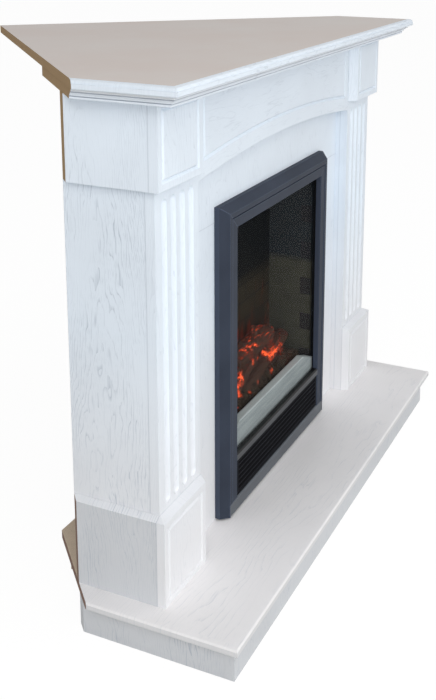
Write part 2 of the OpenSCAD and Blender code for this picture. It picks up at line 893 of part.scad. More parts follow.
module blower_housing() {
    color(zinc)
        difference() {
            rotate([90, 0, 90])
                linear_extrude(2 * wheel_half + 8, center = true) air_way(2);
            rotate([90, 0, 90])
                linear_extrude(2 * wheel_half + 4, center = true) {
                    air_way(0);
                    translate([duct_y - 10, duct_low + 2]) square([20, 32]);
                }
            // air intake at the back
            board([-wheel_half + 8, wheel_y + 10, wheel_z - 26],
                  [wheel_half - 8, wheel_y + 60, wheel_z + 20]);
            translate([0, wheel_y, wheel_z])
                rotate([0, 90, 0]) cylinder(h = big, r = shaft_r + run_gap, center = true);
        }
}

module blower_wheel() {
    color(black_steel)
        translate([0, wheel_y, wheel_z])
            rotate([0, 90, 0]) {
                translate([0, 0, -wheel_half - 8]) cylinder(h = 2 * wheel_half + 28, r = shaft_r);
                for (z = [-wheel_half + 2, -1, wheel_half - 4])
                    translate([0, 0, z]) cylinder(h = 2, r = wheel_r);
                for (i = [0 : 17])
                    rotate([0, 0, 20 * i])
                        translate([wheel_r - 9, -0.6, -wheel_half + 3])
                            cube([8, 1.2, 2 * wheel_half - 6]);
            }
}

module blower_motor() {
    color(black_steel)
        difference() {
            translate([wheel_half + 4, wheel_y, wheel_z])
                rotate([0, 90, 0]) cylinder(h = 36, r = 24);
            translate([wheel_half, wheel_y, wheel_z])
                rotate([0, 90, 0]) cylinder(h = 21, r = shaft_r + run_gap);
        }
}

module heating_element() {
    low = duct_low + 2;
    color(zinc) {
        difference() {
            board([-wheel_half, duct_y + 1, low], [wheel_half, duct_y + 9, low + 32]);
            board([-wheel_half + 5, duct_y, low + 5], [wheel_half - 5, duct_y + 10, low + 27]);
        }
        for (z = [10, 16, 22])
            translate([0, duct_y + 5, low + z])
                rotate([0, 90, 0]) cylinder(h = 2 * wheel_half - 8, r = 1.6, center = true);
    }
}

// ---------- controls ----------

panel_x0 = 92;
panel_x1 = 204;
panel_y = 12;                            // front face of the control panel
panel_z0 = hearth_z + 30;
panel_z1 = rail_z - 2;
switch_z = (panel_z0 + panel_z1) / 2;
switch_x = [112, 134, 156];
rocker_w = 12;
rocker_h = 17;
rocker_pivot_y = panel_y + 4;
knob_x = 184;
trunnion_r = 1.2;                        // a rocker's pivot
knob_shaft_r = 3;
knob_back = panel_y - 0.8;
knob_front = knob_back - 9;

// A box round one rocker, larger than it by the given margin.
module switch_box(x, margin, front, back) {
    half_w = rocker_w / 2 + margin;
    half_h = rocker_h / 2 + 2 + margin;
    board([x - half_w, front, switch_z - half_h], [x + half_w, back, switch_z + half_h]);
}

module control_panel() {
    color(black_steel)
        difference() {
            union() {
                board([panel_x0, panel_y, panel_z0], [panel_x1, panel_y + 2, panel_z1]);
                for (x = switch_x) switch_box(x, 2, panel_y + 1, panel_y + 17);
                // foot that stands on the case floor
                board([panel_x0, panel_y, hearth_z + sheet_t], [panel_x1, panel_y + 2, panel_z0]);
            }
            for (x = switch_x) switch_box(x, 0.5, panel_y - 1, panel_y + 15);
            translate([0, rocker_pivot_y, switch_z])
                rotate([0, 90, 0])
                    translate([0, 0, switch_x[0] - rocker_w])
                        cylinder(h = switch_x[2] - switch_x[0] + 2 * rocker_w, r = trunnion_r + run_gap);
            translate([knob_x, panel_y, switch_z])
                rotate([90, 0, 0]) cylinder(h = 20, r = knob_shaft_r + run_gap, center = true);
        }
}

module rocker(x) {
    color([0.06, 0.06, 0.07])
        translate([x, rocker_pivot_y, switch_z])
            rotate([rocker_tilt, 0, 0])
                rotate([90, 0, 90]) {
                    linear_extrude(rocker_w, center = true)
                        polygon([[-9, -rocker_h / 2], [-7, 0], [-9, rocker_h / 2], [-2, rocker_h / 2],
                                 [4, 2], [4, -2], [-2, -rocker_h / 2]]);
                    cylinder(h = rocker_w + 3.5, r = trunnion_r, center = true);
                }
}

module thermostat_knob() {
    color([0.06, 0.06, 0.07])
        translate([knob_x, 0, switch_z]) {
            rotate([90, 0, 0])
                difference() {
                    translate([0, 0, -knob_back]) cylinder(h = knob_back - knob_front, r = knob_r);
                    for (a = [0 : 30 : 330])
                        rotate([0, 0, a])
                            translate([knob_r + 0.6, 0, -panel_y]) cylinder(h = panel_y, r = 1.4);
                }
            rotate([-90, 0, 0]) cylinder(h = panel_y + 10, r = knob_shaft_r);
            board([-1, knob_front - 0.8, 2], [1, knob_front + 0.5, knob_r - 2]);
        }
}

placed() mantel_shelf();
placed() cornice_board();
placed() frieze_board();
placed() pilaster_front(-1);  // left_pilaster_front
placed() pilaster_front(1);  // right_pilaster_front
placed() pilaster_side(-1);  // left_pilaster_side
placed() pilaster_side(1);  // right_pilaster_side
placed() block_front(-1);  // left_block_front
placed() block_front(1);  // right_block_front
placed() block_cheek(-1);  // left_block_cheek
placed() block_cheek(1);  // right_block_cheek
placed() plinth_front(-1);  // left_plinth_front
placed() plinth_front(1);  // right_plinth_front
placed() plinth_cheek(-1);  // left_plinth_cheek
placed() plinth_cheek(1);  // right_plinth_cheek
placed() header_panel();
placed() stile_panel(-1);  // left_stile_panel
placed() stile_panel(1);  // right_stile_panel
placed() fixing_battens();
placed() back_rail();
placed() hearth_slab();
placed() hearth_front_skirt();
placed() hearth_skirt(-1);  // left_hearth_skirt
placed() hearth_skirt(1);  // right_hearth_skirt
placed() hearth_ribs();
placed() angle_brackets();
placed() bracket_screws();
placed() trim_top();
placed() trim_side(-1);  // trim_left
placed() trim_side(1);  // trim_right
placed() trim_bottom_bar();
placed() glass_pane();
placed() middle_rail();
placed() louvre_grille();
placed() grille_pins();
placed() case_back_sheet();  // case_back
placed() case_side(-1);  // case_left
placed() case_side(1);  // case_right
placed() case_top_sheet();  // case_top
placed() case_floor_sheet();  // case_floor
placed() fire_deck();
placed() brick_liner(-1);  // left_brick_liner
placed() brick_liner(1);  // right_brick_liner
placed() flame_screen();
placed() ember_bed();
placed() log_set();
placed() front_kerb();
placed() flame_rotor();
placed() rotor_motor();
placed() lamps();
placed() blower_housing();
placed() blower_wheel();
placed() blower_motor();
placed() heating_element();
placed() control_panel();
placed() rocker(switch_x[0]);  // flame_switch
placed() rocker(switch_x[1]);  // half_heat_switch
placed() rocker(switch_x[2]);  // full_heat_switch
placed() thermostat_knob();
placed() cable_gland();
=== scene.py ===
import bpy
import bmesh
import math
from mathutils import Matrix, Vector, noise


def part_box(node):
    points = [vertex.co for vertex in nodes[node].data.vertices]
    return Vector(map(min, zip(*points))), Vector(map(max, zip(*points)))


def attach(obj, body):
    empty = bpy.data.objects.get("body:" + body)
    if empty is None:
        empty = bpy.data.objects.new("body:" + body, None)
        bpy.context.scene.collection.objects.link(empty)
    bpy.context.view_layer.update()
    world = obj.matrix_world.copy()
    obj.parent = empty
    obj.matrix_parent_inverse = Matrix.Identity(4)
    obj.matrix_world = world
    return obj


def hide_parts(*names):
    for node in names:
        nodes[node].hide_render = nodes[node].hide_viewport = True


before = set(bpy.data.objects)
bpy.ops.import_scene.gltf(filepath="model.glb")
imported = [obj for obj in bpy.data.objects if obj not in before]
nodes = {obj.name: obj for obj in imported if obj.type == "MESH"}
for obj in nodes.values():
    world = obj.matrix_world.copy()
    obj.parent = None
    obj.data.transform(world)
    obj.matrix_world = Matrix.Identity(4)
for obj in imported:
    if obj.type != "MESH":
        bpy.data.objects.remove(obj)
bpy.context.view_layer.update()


# ---------- the view ----------
# The fire is seen from beyond its left end, a little above the mantel. The picture is the lower
# right part of a wider view, so the camera keeps a shift.

PICTURE_H = 700
FOCAL_PX = 1025.2
VIEW_CENTRE_PX = (262, 150)
PICTURE_CENTRE_PX = (218, 350)
SENSOR_MM = 36
camera_place = Vector((-1.8956, -1.0607, 1.2338))
heading = math.radians(65.95)
tilt = math.radians(-12.53)
roll = math.radians(0.414)

camera_data = bpy.data.cameras.new("camera")
camera_data.sensor_width = SENSOR_MM
camera_data.lens = FOCAL_PX / PICTURE_H * SENSOR_MM
camera_data.shift_x = (PICTURE_CENTRE_PX[0] - VIEW_CENTRE_PX[0]) / PICTURE_H
camera_data.shift_y = (VIEW_CENTRE_PX[1] - PICTURE_CENTRE_PX[1]) / PICTURE_H
camera = bpy.data.objects.new("camera", camera_data)
bpy.context.collection.objects.link(camera)
forward = Vector((math.sin(heading) * math.cos(tilt), math.cos(heading) * math.cos(tilt), math.sin(tilt)))
level = Vector((math.cos(heading), -math.sin(heading), 0))
upright = level.cross(forward)
right = level * math.cos(roll) + upright * math.sin(roll)
up = upright * math.cos(roll) - level * math.sin(roll)
turned = Matrix((right, up, -forward)).transposed()
camera.matrix_world = Matrix.Translation(camera_place) @ turned.to_4x4()
bpy.context.scene.camera = camera
bpy.context.scene.view_settings.view_transform = "Standard"


# ---------- the studio ----------
# A plain white floor and a plain white surround, with soft lamps at a level at which a colour
# renders about as it is written.

def srgb(red, green, blue):
    """A colour given as it looks on screen, 0 to 1, as the linear colour that a shader takes."""
    linear = [c / 12.92 if c <= 0.04045 else ((c + 0.055) / 1.055) ** 2.4 for c in (red, green, blue)]
    return (*linear, 1)


def feed(tree, value, socket):
    """Sets a socket to a value, or links it to another socket or to a node's first output."""
    if isinstance(value, bpy.types.Node):
        value = value.outputs[0]
    if isinstance(value, bpy.types.NodeSocket):
        tree.links.new(value, socket)
    else:
        socket.default_value = value


def give(tree, node, inputs):
    """Feeds some inputs of a node."""
    for key, value in inputs.items():
        feed(tree, value, node.inputs[key])


def put(tree, kind, inputs=None, **settings):
    """A new shader or geometry node with its settings and inputs."""
    node = tree.nodes.new(kind)
    for key, value in settings.items():
        setattr(node, key, value)
    give(tree, node, inputs or {})
    return node


def calc(tree, operation, *values, clamp=False):
    """One Math node."""
    return put(tree, "ShaderNodeMath", dict(enumerate(values)), operation=operation, use_clamp=clamp)


def sees_background(tree):
    """1 for rays that come from the camera or by way of metal and glass, which all see a white room."""
    path = put(tree, "ShaderNodeLightPath").outputs
    seen = calc(tree, "MAXIMUM", path["Is Camera Ray"], path["Is Glossy Ray"])
    return calc(tree, "MAXIMUM", seen, path["Is Transmission Ray"])


PURE_WHITE = (1, 1, 1, 1)
AMBIENT = 0.35
world = bpy.data.worlds.new("studio")
bpy.context.scene.world = world
world.use_nodes = True
tree = world.node_tree
tree.nodes.clear()
soft_light = put(tree, "ShaderNodeBackground", {"Color": PURE_WHITE, "Strength": AMBIENT})
white_room = put(tree, "ShaderNodeBackground", {"Color": PURE_WHITE, "Strength": 1})
mixed = put(tree, "ShaderNodeMixShader", {0: sees_background(tree), 1: soft_light, 2: white_room})
put(tree, "ShaderNodeOutputWorld", {"Surface": mixed})

FLOOR_HALF = 40
FLOOR_PAINT = srgb(0.82, 0.82, 0.815)
# how much of a shadow the camera sees on the floor, and the white that makes up for that share
SHADOW_SHARE = 0.12
FLOOR_WHITE = 1.08
floor_mesh = bpy.data.meshes.new("floor")
corners = [(-FLOOR_HALF, -FLOOR_HALF, 0), (FLOOR_HALF, -FLOOR_HALF, 0),
           (FLOOR_HALF, FLOOR_HALF, 0), (-FLOOR_HALF, FLOOR_HALF, 0)]
floor_mesh.from_pydata(corners, [], [(0, 1, 2, 3)])
floor = bpy.data.objects.new("floor", floor_mesh)
bpy.context.collection.objects.link(floor)
floor_finish = bpy.data.materials.new("pale_floor")
floor_finish.use_nodes = True
tree = floor_finish.node_tree
tree.nodes.clear()
matt = put(tree, "ShaderNodeBsdfDiffuse", {"Color": FLOOR_PAINT})
bright = put(tree, "ShaderNodeEmission", {"Color": PURE_WHITE, "Strength": FLOOR_WHITE})
shaded = put(tree, "ShaderNodeMixShader", {0: SHADOW_SHARE, 1: bright, 2: matt})
mixed = put(tree, "ShaderNodeMixShader", {0: sees_background(tree), 1: matt, 2: shaded})
put(tree, "ShaderNodeOutputMaterial", {"Surface": mixed})
floor_mesh.materials.append(floor_finish)

LAMP_AIM = Vector((0, 0, 0.6))
# each lamp's name, place, width in metres and power in watts
LAMPS = [
    ("main_lamp", (-3.2, -3.4, 1.3), 3.0, 86),
    ("near_lamp", (-2.6, -1.2, 2.5), 1.6, 26),
    ("front_lamp", (1.2, -4.6, 2.0), 3.0, 28),
    ("top_lamp", (0.5, -2.6, 3.8), 3.0, 26),
]
for name, place, width, watts in LAMPS:
    lamp_data = bpy.data.lights.new(name, "AREA")
    lamp_data.size = width
    lamp_data.energy = watts
    lamp = bpy.data.objects.new(name, lamp_data)
    bpy.context.collection.objects.link(lamp)
    lamp.location = place
    lamp.rotation_euler = (LAMP_AIM - Vector(place)).to_track_quat("-Z", "Y").to_euler()


# ---------- white film ----------
# The surround is fibreboard wrapped in a white film with the figure of plain-sawn oak printed and
# pressed into it. Where a board is cut to the wall or faces inwards, the bare board shows.

def plus(tree, first, second):
    return calc(tree, "ADD", first, second)


def minus(tree, first, second):
    return calc(tree, "SUBTRACT", first, second)


def times(tree, first, second):
    return calc(tree, "MULTIPLY", first, second)


def over(tree, value, limit):
    """1 where a value is above a limit, and 0 elsewhere."""
    return calc(tree, "GREATER_THAN", value, limit)


def under(tree, value, limit):
    """1 where a value is below a limit, and 0 elsewhere."""
    return calc(tree, "LESS_THAN", value, limit)


def spread(tree, value, low, high, to_low=0.0, to_high=1.0):
    """A value's range stretched to another range, and clamped to it."""
    return put(tree, "ShaderNodeMapRange", {"Value": value, "From Min": low, "From Max": high,
                                            "To Min": to_low, "To Max": to_high})


def xyz(tree, *parts):
    """A vector from its three parts."""
    return put(tree, "ShaderNodeCombineXYZ", dict(enumerate(parts)))


def split(tree, vector):
    """The three parts of a vector."""
    return put(tree, "ShaderNodeSeparateXYZ", {0: vector}).outputs


# most of a soft noise lies between these two
MOST = (0.35, 0.65)


def cloud(tree, place, scale, detail, rough=0.5, twist=0.0):
    """Soft noise from 0 to 1, with about as many lumps to a metre as its scale says."""
    return put(tree, "ShaderNodeTexNoise", {"Vector": place, "Scale": scale, "Detail": detail,
                                            "Roughness": rough, "Distortion": twist}).outputs["Fac"]


def socket_in(tree, name, kind, value=None):
    """A named input of a node group."""
    item = tree.interface.new_socket(name, in_out="INPUT", socket_type=kind)
    if value is not None:
        item.default_value = value


def oak_figure():
    """Group: pores of plain-sawn oak, from a place across and along the grain, in metres."""
    group = bpy.data.node_groups.new("oak_figure", "ShaderNodeTree")
    for name, value in (("Across", 0.0), ("Along", 0.0), ("Heart", 0.0), ("Curve", 900.0), ("Rise", 9.0),
                        ("Wander", 9.0)):
        socket_in(group, name, "NodeSocketFloat", value)
    group.interface.new_socket("Pores", in_out="OUTPUT", socket_type="NodeSocketFloat")
    given = put(group, "NodeGroupInput").outputs

    def waves(to_across, to_along, offset, detail=2.0, rough=0.5):
        """Noise with its own number of lumps to a metre across and along the grain."""
        u = times(group, given["Across"], to_across)
        v = times(group, given["Along"], to_along)
        return cloud(group, xyz(group, u, v, offset), 1.0, detail, rough)

    # year rings: arches over the heart line that grow dense and straight away from it
    drift = times(group, minus(group, waves(5, 1.3, 3.1), 0.5), 0.05)
    out = plus(group, minus(group, given["Across"], given["Heart"]), drift)
    bowed = times(group, times(group, out, out), given["Curve"])
    arches = plus(group, bowed, times(group, given["Along"], given["Rise"]))
    wander = times(group, waves(13, 3.2, 8.4, 3.0, 0.6), given["Wander"])
    ring = calc(group, "FRACT", plus(group, arches, wander))
    early = calc(group, "SUBTRACT", 1.0, times(group, ring, 4.0), clamp=True)
    # pores: short dashes along the grain, coarse ones in the early wood and fine ones between
    coarse = spread(group, waves(430, 17, 0.0), 0.38, 0.56)
    fine = spread(group, waves(820, 62, 5.0), 0.52, 0.66)
    crowd = spread(group, waves(16, 5, 2.0), 0.36, 0.60, 0.15, 1.0)
    banded = times(group, coarse, early)
    loose = times(group, fine, 0.30)
    total = calc(group, "MULTIPLY", calc(group, "MAXIMUM", banded, loose), crowd, clamp=True)
    put(group, "NodeGroupOutput", {"Pores": total})
    return group


def clean_material(name):
    """An empty node material with its Principled shader and output, and the places to read."""
    material = bpy.data.materials.new(name)
    material.use_nodes = True
    tree = material.node_tree
    tree.nodes.clear()
    shader = put(tree, "ShaderNodeBsdfPrincipled")
    put(tree, "ShaderNodeOutputMaterial", {"Surface": shader})
    place = put(tree, "ShaderNodeTexCoord").outputs["Object"]
    return material, tree, shader, place


def facing(tree):
    """The way that the surface looks, as a vector."""
    return put(tree, "ShaderNodeNewGeometry").outputs["Normal"]


def mix_colour(tree, share, first, second):
    """A colour between two others."""
    return put(tree, "ShaderNodeMix", {0: share, 6: first, 7: second}, data_type="RGBA").outputs[2]


def soft_edges(tree, radius, height, strength, depth):
    """A normal with the piece's sharp edges rounded over, and a fine relief on it."""
    rounded = put(tree, "ShaderNodeBevel", {"Radius": radius}, samples=4)
    return put(tree, "ShaderNodeBump", {"Height": height, "Strength": strength, "Distance": depth,
                                        "Normal": rounded})


BOARD_FACE = srgb(0.95, 0.885, 0.80)
BOARD_CUT = srgb(0.74, 0.615, 0.45)
# sawn edges are greyer near the floor, and blend to their own colour between these heights
LOW_CUT = srgb(0.52, 0.40, 0.36)
LOW_CUT_Z, HIGH_CUT_Z = 0.25, 0.85
FIBRE_BROWN = srgb(0.44, 0.35, 0.27)
PATCH_TAN = srgb(0.70, 0.60, 0.49)


def bare_board(tree, place, sawn):
    """Colour of bare fibreboard: a pale flat face, and brown where it is sawn."""
    fibres = cloud(tree, place, 900.0, 3.0, 0.7)
    patches = cloud(tree, place, 60.0, 2.0)
    cut = mix_colour(tree, spread(tree, split(tree, place)[2], LOW_CUT_Z, HIGH_CUT_Z), LOW_CUT, BOARD_CUT)
    body = mix_colour(tree, sawn, BOARD_FACE, cut)
    body = mix_colour(tree, times(tree, spread(tree, fibres, 0.42, 0.68), 0.4), body, FIBRE_BROWN)
    return mix_colour(tree, times(tree, patches, 0.25), body, PATCH_TAN)


OAK = oak_figure()
# painted light: the white is painted neutral near the floor and cool higher up, where the light from above
# falls cool, and blends between these heights
LOW_WHITE = srgb(0.918, 0.92, 0.93)
HIGH_WHITE = srgb(0.91, 0.946, 0.983)
LOW_WHITE_Z, HIGH_WHITE_Z = 0.16, 0.56
MOTTLE_GREY = srgb(0.5, 0.5, 0.52)
PORE_GREY = srgb(0.60, 0.65, 0.71)
SEAM_GREY = srgb(0.62, 0.66, 0.72)
SEAM_HALF, SEAM_FADE = 0.0004, 0.0014
FILM_ROUGHNESS, BARE_ROUGHER = 0.45, 0.35
EDGE_RADIUS = 0.0012
# how far a face looks back: one sawn to the wall more than the first and less than the second
CUT_SLOPE, BACK_SLOPE = 0.35, 0.95
# a slope that no face has, for boards whose back edge is wrapped too
NO_SLOPE = 2.0
SIDE_SLOPE, UPRIGHT_SLOPE, LEVEL_SLOPE, DOWN_SLOPE = 0.5, 0.2, 0.998, -0.99
TOP_Z, TOP_MARGIN = 1.0, 0.002
WARM_TINT = (0.97, 0.92, 0.90)


def film(name, grain="upright", heart=0.0, curve=900.0, rise=9.0, wander=9.0, strength=0.5, inner=0,
         cut=True, bare_beyond=None, bare_below=False, base=None, tone=None, top=None, seams_y=(),
         seams_z=(), seam=0.26):
    """White film over a board, with its grain upright or level.

    The figure's arches stand on the heart line: curve says how narrow they are, rise how close,
    wander how uneven, and strength how dark their pores. The board is bare on the side where inner
    points along X, where it is cut to the wall unless cut is off, behind bare_beyond, and with
    bare_below on its underside. base colours the whole film; without it the white is painted light,
    neutral low down and cool high up. tone is painted shade on its upright faces, and top colours the
    mantel's flat top. Seams are the joints between boards, or on the cornice painted shadow lines
    under its steps, and seam is how dark they show.
    """
    material, tree, shader, place = clean_material(name)
    x, y, z = split(tree, place)
    nx, ny, nz = split(tree, facing(tree))
    sideways = over(tree, calc(tree, "ABSOLUTE", nx), calc(tree, "ABSOLUTE", ny))
    if grain == "upright":
        # a side face is figured across Y and a front face across X
        across = put(tree, "ShaderNodeMix", {0: sideways, 2: x, 3: y}, data_type="FLOAT")
        along = z
    else:
        # the figure runs on from a board's flat over its front edge, and stands upright on its ends
        across = plus(tree, y, times(tree, z, minus(tree, 1.0, sideways)))
        along = x
    pores = put(tree, "ShaderNodeGroup", {"Across": across, "Along": along, "Heart": heart, "Curve": curve,
                                          "Rise": rise, "Wander": wander}, node_tree=OAK).outputs["Pores"]
    # painted light: without a base, the white is painted neutral low down and cool high up
    white = base or mix_colour(tree, spread(tree, z, LOW_WHITE_Z, HIGH_WHITE_Z), LOW_WHITE, HIGH_WHITE)
    # painted shade: tone greys the upright faces
    if tone:
        white = mix_colour(tree, under(tree, nz, UPRIGHT_SLOPE), white, tone)
    mottle = spread(tree, cloud(tree, place, 6.0, 3.0), *MOST, 0.0, 0.06)
    white = mix_colour(tree, mottle, white, MOTTLE_GREY)
    colour = mix_colour(tree, times(tree, pores, strength), white, PORE_GREY)
    if top:
        warmer = tuple(t * c for t, c in zip(top[:3], WARM_TINT)) + (1,)
        warmth = spread(tree, cloud(tree, place, 3.5, 3.0), *MOST)
        flat = times(tree, over(tree, nz, LEVEL_SLOPE), over(tree, z, TOP_Z - TOP_MARGIN))
        colour = mix_colour(tree, flat, colour, mix_colour(tree, warmth, top, warmer))
    for spot, at in [(y, at) for at in seams_y] + [(z, at) for at in seams_z]:
        away = calc(tree, "ABSOLUTE", minus(tree, spot, at))
        line = spread(tree, away, SEAM_HALF, SEAM_FADE, seam, 0.0)
        colour = mix_colour(tree, line, colour, SEAM_GREY)
    bare = over(tree, ny, CUT_SLOPE if cut else NO_SLOPE)
    if bare_below:
        bare = calc(tree, "MAXIMUM", bare, under(tree, nz, DOWN_SLOPE))
    if inner:
        bare = calc(tree, "MAXIMUM", bare, over(tree, times(tree, nx, inner), SIDE_SLOPE))
    if bare_beyond is not None:
        bare = calc(tree, "MAXIMUM", bare, over(tree, y, bare_beyond))
    sawn = times(tree, over(tree, ny, CUT_SLOPE), under(tree, ny, BACK_SLOPE))
    give(tree, shader, {
        "Base Color": mix_colour(tree, bare, colour, bare_board(tree, place, sawn)),
        "Roughness": plus(tree, times(tree, bare, BARE_ROUGHER), FILM_ROUGHNESS),
        "Specular IOR Level": 0.3,
        "Normal": soft_edges(tree, EDGE_RADIUS, times(tree, pores, -1.0), strength=0.12, depth=0.0003)})
    return material


def dress(material, *names):
    """Gives CAD nodes their finish."""
    for name in names:
        for place in nodes[name].material_slots:
            place.material = material


# ---------- raised hearth ----------
# A 16 mm board with a rounded nose on a front and two side skirts, on ribs of raw board. Its back
# edges are cut to the room's walls, and the film ends where the surround stands on it.

FILM_END_Y = -0.105
# painted light and shade: the hearth's top is painted a paler white than the rest of the film, its nose face
# a greyer one, and the upright faces of the skirts and plinth cheeks greyer still
HEARTH_LIT_WHITE = srgb(0.955, 0.948, 0.95)
NOSE_SHADE_WHITE = srgb(0.88, 0.88, 0.885)
FOOT_SHADE_WHITE = srgb(0.835, 0.845, 0.86)
dress(film("hearth_film", "level", heart=-0.36, curve=420.0, rise=3.0, wander=7.0, strength=0.24,
           bare_beyond=FILM_END_Y, bare_below=True, base=HEARTH_LIT_WHITE, tone=NOSE_SHADE_WHITE), "hearth_slab")
for side, inner, rise in (("left", 1, 6.0), ("right", -1, 9.0)):
    dress(film(side + "_skirt_film", heart=-0.02, curve=320.0, rise=rise, wander=14.0, strength=0.8,
               inner=inner, cut=False, tone=FOOT_SHADE_WHITE), side + "_hearth_skirt")
dress(film("front_skirt_film", heart=-0.3, curve=60.0, wander=22.0, strength=0.35, tone=FOOT_SHADE_WHITE),
      "hearth_front_skirt")


def raw_board():
    """Fibreboard without film, sawn above and below."""
    material, tree, shader, place = clean_material("raw_board")
    sawn = over(tree, calc(tree, "ABSOLUTE", split(tree, facing(tree))[2]), 0.9)
    fibres = cloud(tree, place, 1400.0, 2.0)
    give(tree, shader, {
        "Base Color": bare_board(tree, place, sawn), "Roughness": 0.85,
        "Normal": soft_edges(tree, 0.001, fibres, strength=0.3, depth=0.0005)})
    return material


dress(raw_board(), "hearth_ribs", "fixing_battens", "back_rail")


# ---------- carcass and field ----------
# Side panels, the board above the fire and the boards beside it, screwed together with corner
# brackets. The side panels carry the boldest figure, with arches up their middle.

FRONT_BOARD_Y = -0.2485
HEADER_Z = 0.690
dress(film("left_side_film", heart=-0.155, curve=1700.0, rise=12.0, wander=13.0, strength=0.70, inner=1,
           seams_y=(FRONT_BOARD_Y,)), "left_pilaster_side")
dress(film("right_side_film", heart=-0.18, strength=0.55, inner=-1, seams_y=(FRONT_BOARD_Y,)),
      "right_pilaster_side")
dress(film("field_film", heart=-0.1, curve=130.0, rise=8.0, wander=16.0, strength=0.22, seams_z=(HEADER_Z,)),
      "header_panel", "left_stile_panel", "right_stile_panel")


# ---------- pilasters, blocks, plinths and frieze ----------
# Fluted boards with a block at the top and a plinth at the foot, each with a routed panel, and an
# arched frieze between them. The grooves are pressed into the wrapped boards.

CHEEK_Y = -0.2665
for side, way in (("left", -1), ("right", 1)):
    dress(film(side + "_front_film", heart=way * 0.46, curve=500.0, wander=12.0, strength=0.22,
               seams_y=(FRONT_BOARD_Y,)), side + "_pilaster_front")
    dress(film(side + "_block_film", heart=way * 0.64, curve=300.0, wander=11.0, strength=0.25,
               seams_y=(CHEEK_Y,)), side + "_block_front")
    dress(film(side + "_plinth_film", heart=way * 0.66, curve=300.0, wander=12.0, strength=0.16,
               seams_y=(CHEEK_Y,)), side + "_plinth_front")
    # painted shade: the plinth cheek's upright faces are greyed
    dress(film(side + "_foot_film", heart=0.02, curve=400.0, rise=10.0, wander=14.0, strength=0.75,
               inner=-way, seams_y=(CHEEK_Y,), tone=FOOT_SHADE_WHITE), side + "_plinth_cheek")
dress(film("left_cheek_film", heart=-0.14, curve=1500.0, rise=10.0, wander=11.0, inner=1,
           seams_y=(CHEEK_Y,)), "left_block_cheek")
dress(film("right_cheek_film", heart=-0.15, curve=700.0, rise=7.0, strength=0.4, inner=-1,
           seams_y=(CHEEK_Y,)), "right_block_cheek")
dress(film("frieze_film", "level", heart=0.60, curve=500.0, rise=4.0, wander=10.0, strength=0.22),
      "frieze_board")


# ---------- mantel ----------
# A wedge-shaped top cut to the room's corner, with a moulded nose on three edges, over a moulded
# board. The flat top is coloured a smooth warm grey, with warmer clouds.

MANTEL_TOP_GREY = srgb(0.815, 0.785, 0.765)
# painted light: the moulded board is painted a paler, bluer white than the rest of the film, with dark lines
# painted at these heights as the shadows in its steps
CORNICE_LIT_WHITE = srgb(0.935, 0.965, 1.0)
CORNICE_SHADOW_LINES_Z = (0.9702, 0.9785)
dress(film("mantel_film", "level", heart=0.7, curve=300.0, rise=5.0, wander=16.0,
           bare_below=True, top=MANTEL_TOP_GREY), "mantel_shelf")
dress(film("cornice_film", "level", heart=0.7, curve=300.0, rise=5.0, wander=14.0, strength=0.25,
           seams_z=CORNICE_SHADOW_LINES_Z, seam=0.7, base=CORNICE_LIT_WHITE), "cornice_board")


# ---------- corner brackets and screws ----------
# Folded angles of zinc-plated steel inside the carcass. Each is held to two boards by pan-head
# screws with a cross recess: one goes straight up or down, and the other lies level.

def shade(colour, share, lift=0.0):
    """A colour made darker or paler by a share of itself."""
    return tuple(min(1.0, share * c + lift) for c in colour[:3]) + (1,)


def drawn_out(tree, place, scales):
    """Places with a scale of their own along X, Y and Z, for a pattern that is drawn out."""
    return put(tree, "ShaderNodeMapping", {"Vector": place, "Scale": scales})


def metal(name, colour, roughness):
    """Bare metal with dull clouds and fine scratches."""
    material, tree, shader, place = clean_material(name)
    dullness = cloud(tree, place, 55.0, 4.0, 0.65)
    scratches = cloud(tree, drawn_out(tree, place, (60.0, 900.0, 900.0)), 1.0, 2.0)
    give(tree, shader, {
        "Metallic": 1.0, "Base Color": mix_colour(tree, dullness, colour, shade(colour, 0.72)),
        "Roughness": plus(tree, times(tree, dullness, 0.2), roughness),
        "Normal": soft_edges(tree, 0.0006, scratches, strength=0.1, depth=0.0002)})
    return material


def geometry_tree(name, named_inputs):
    """An empty geometry tree with a mesh in and out and its named inputs, and what it is given."""
    tree = bpy.data.node_groups.new(name, "GeometryNodeTree")
    tree.interface.new_socket("Geometry", in_out="INPUT", socket_type="NodeSocketGeometry")
    kinds = {float: "NodeSocketFloat", int: "NodeSocketInt", type(None): "NodeSocketObject"}
    for key, value in named_inputs.items():
        socket_in(tree, key, kinds[type(value)], value)
    tree.interface.new_socket("Geometry", in_out="OUTPUT", socket_type="NodeSocketGeometry")
    return tree, put(tree, "NodeGroupInput").outputs


def end_tree(tree, geometry, finish):
    """The last two nodes: the finish goes on, and the mesh goes out."""
    put(tree, "NodeGroupOutput", {
        0: put(tree, "GeometryNodeSetMaterial", {"Geometry": geometry, "Material": finish})})


def plain_mesh(name, tree, inputs, source=None):
    """Runs a geometry tree on a mesh and returns the result as a plain mesh object."""
    holder = bpy.data.objects.new(name + "_holder", source or bpy.data.meshes.new(name + "_seed"))
    bpy.context.collection.objects.link(holder)
    modifier = holder.modifiers.new("build", "NODES")
    modifier.node_group = tree
    for item in tree.interface.items_tree:
        if item.item_type == "SOCKET" and item.in_out == "INPUT" and item.name in inputs:
            modifier[item.identifier] = inputs[item.name]
    holder.update_tag()
    bpy.context.view_layer.update()
    graph = bpy.context.evaluated_depsgraph_get()
    mesh = bpy.data.meshes.new_from_object(holder.evaluated_get(graph), depsgraph=graph)
    bpy.data.objects.remove(holder)
    piece = bpy.data.objects.new(name, mesh)
    mesh.name = name
    bpy.context.collection.objects.link(piece)
    return piece


ZINC = metal("zinc_steel", srgb(0.76, 0.78, 0.80), 0.3)
dress(ZINC, "angle_brackets", "grille_pins", "rotor_motor", "blower_housing")

FIELD_Y = -0.2385
CORNICE_Z, HEARTH_Z = 0.966, 0.078
SIDE_IN = 0.515
FIELD_BACK_Y, BACK_RAIL_Y, SIDE_BRACKET_Y = 0.018, 0.127, 0.06
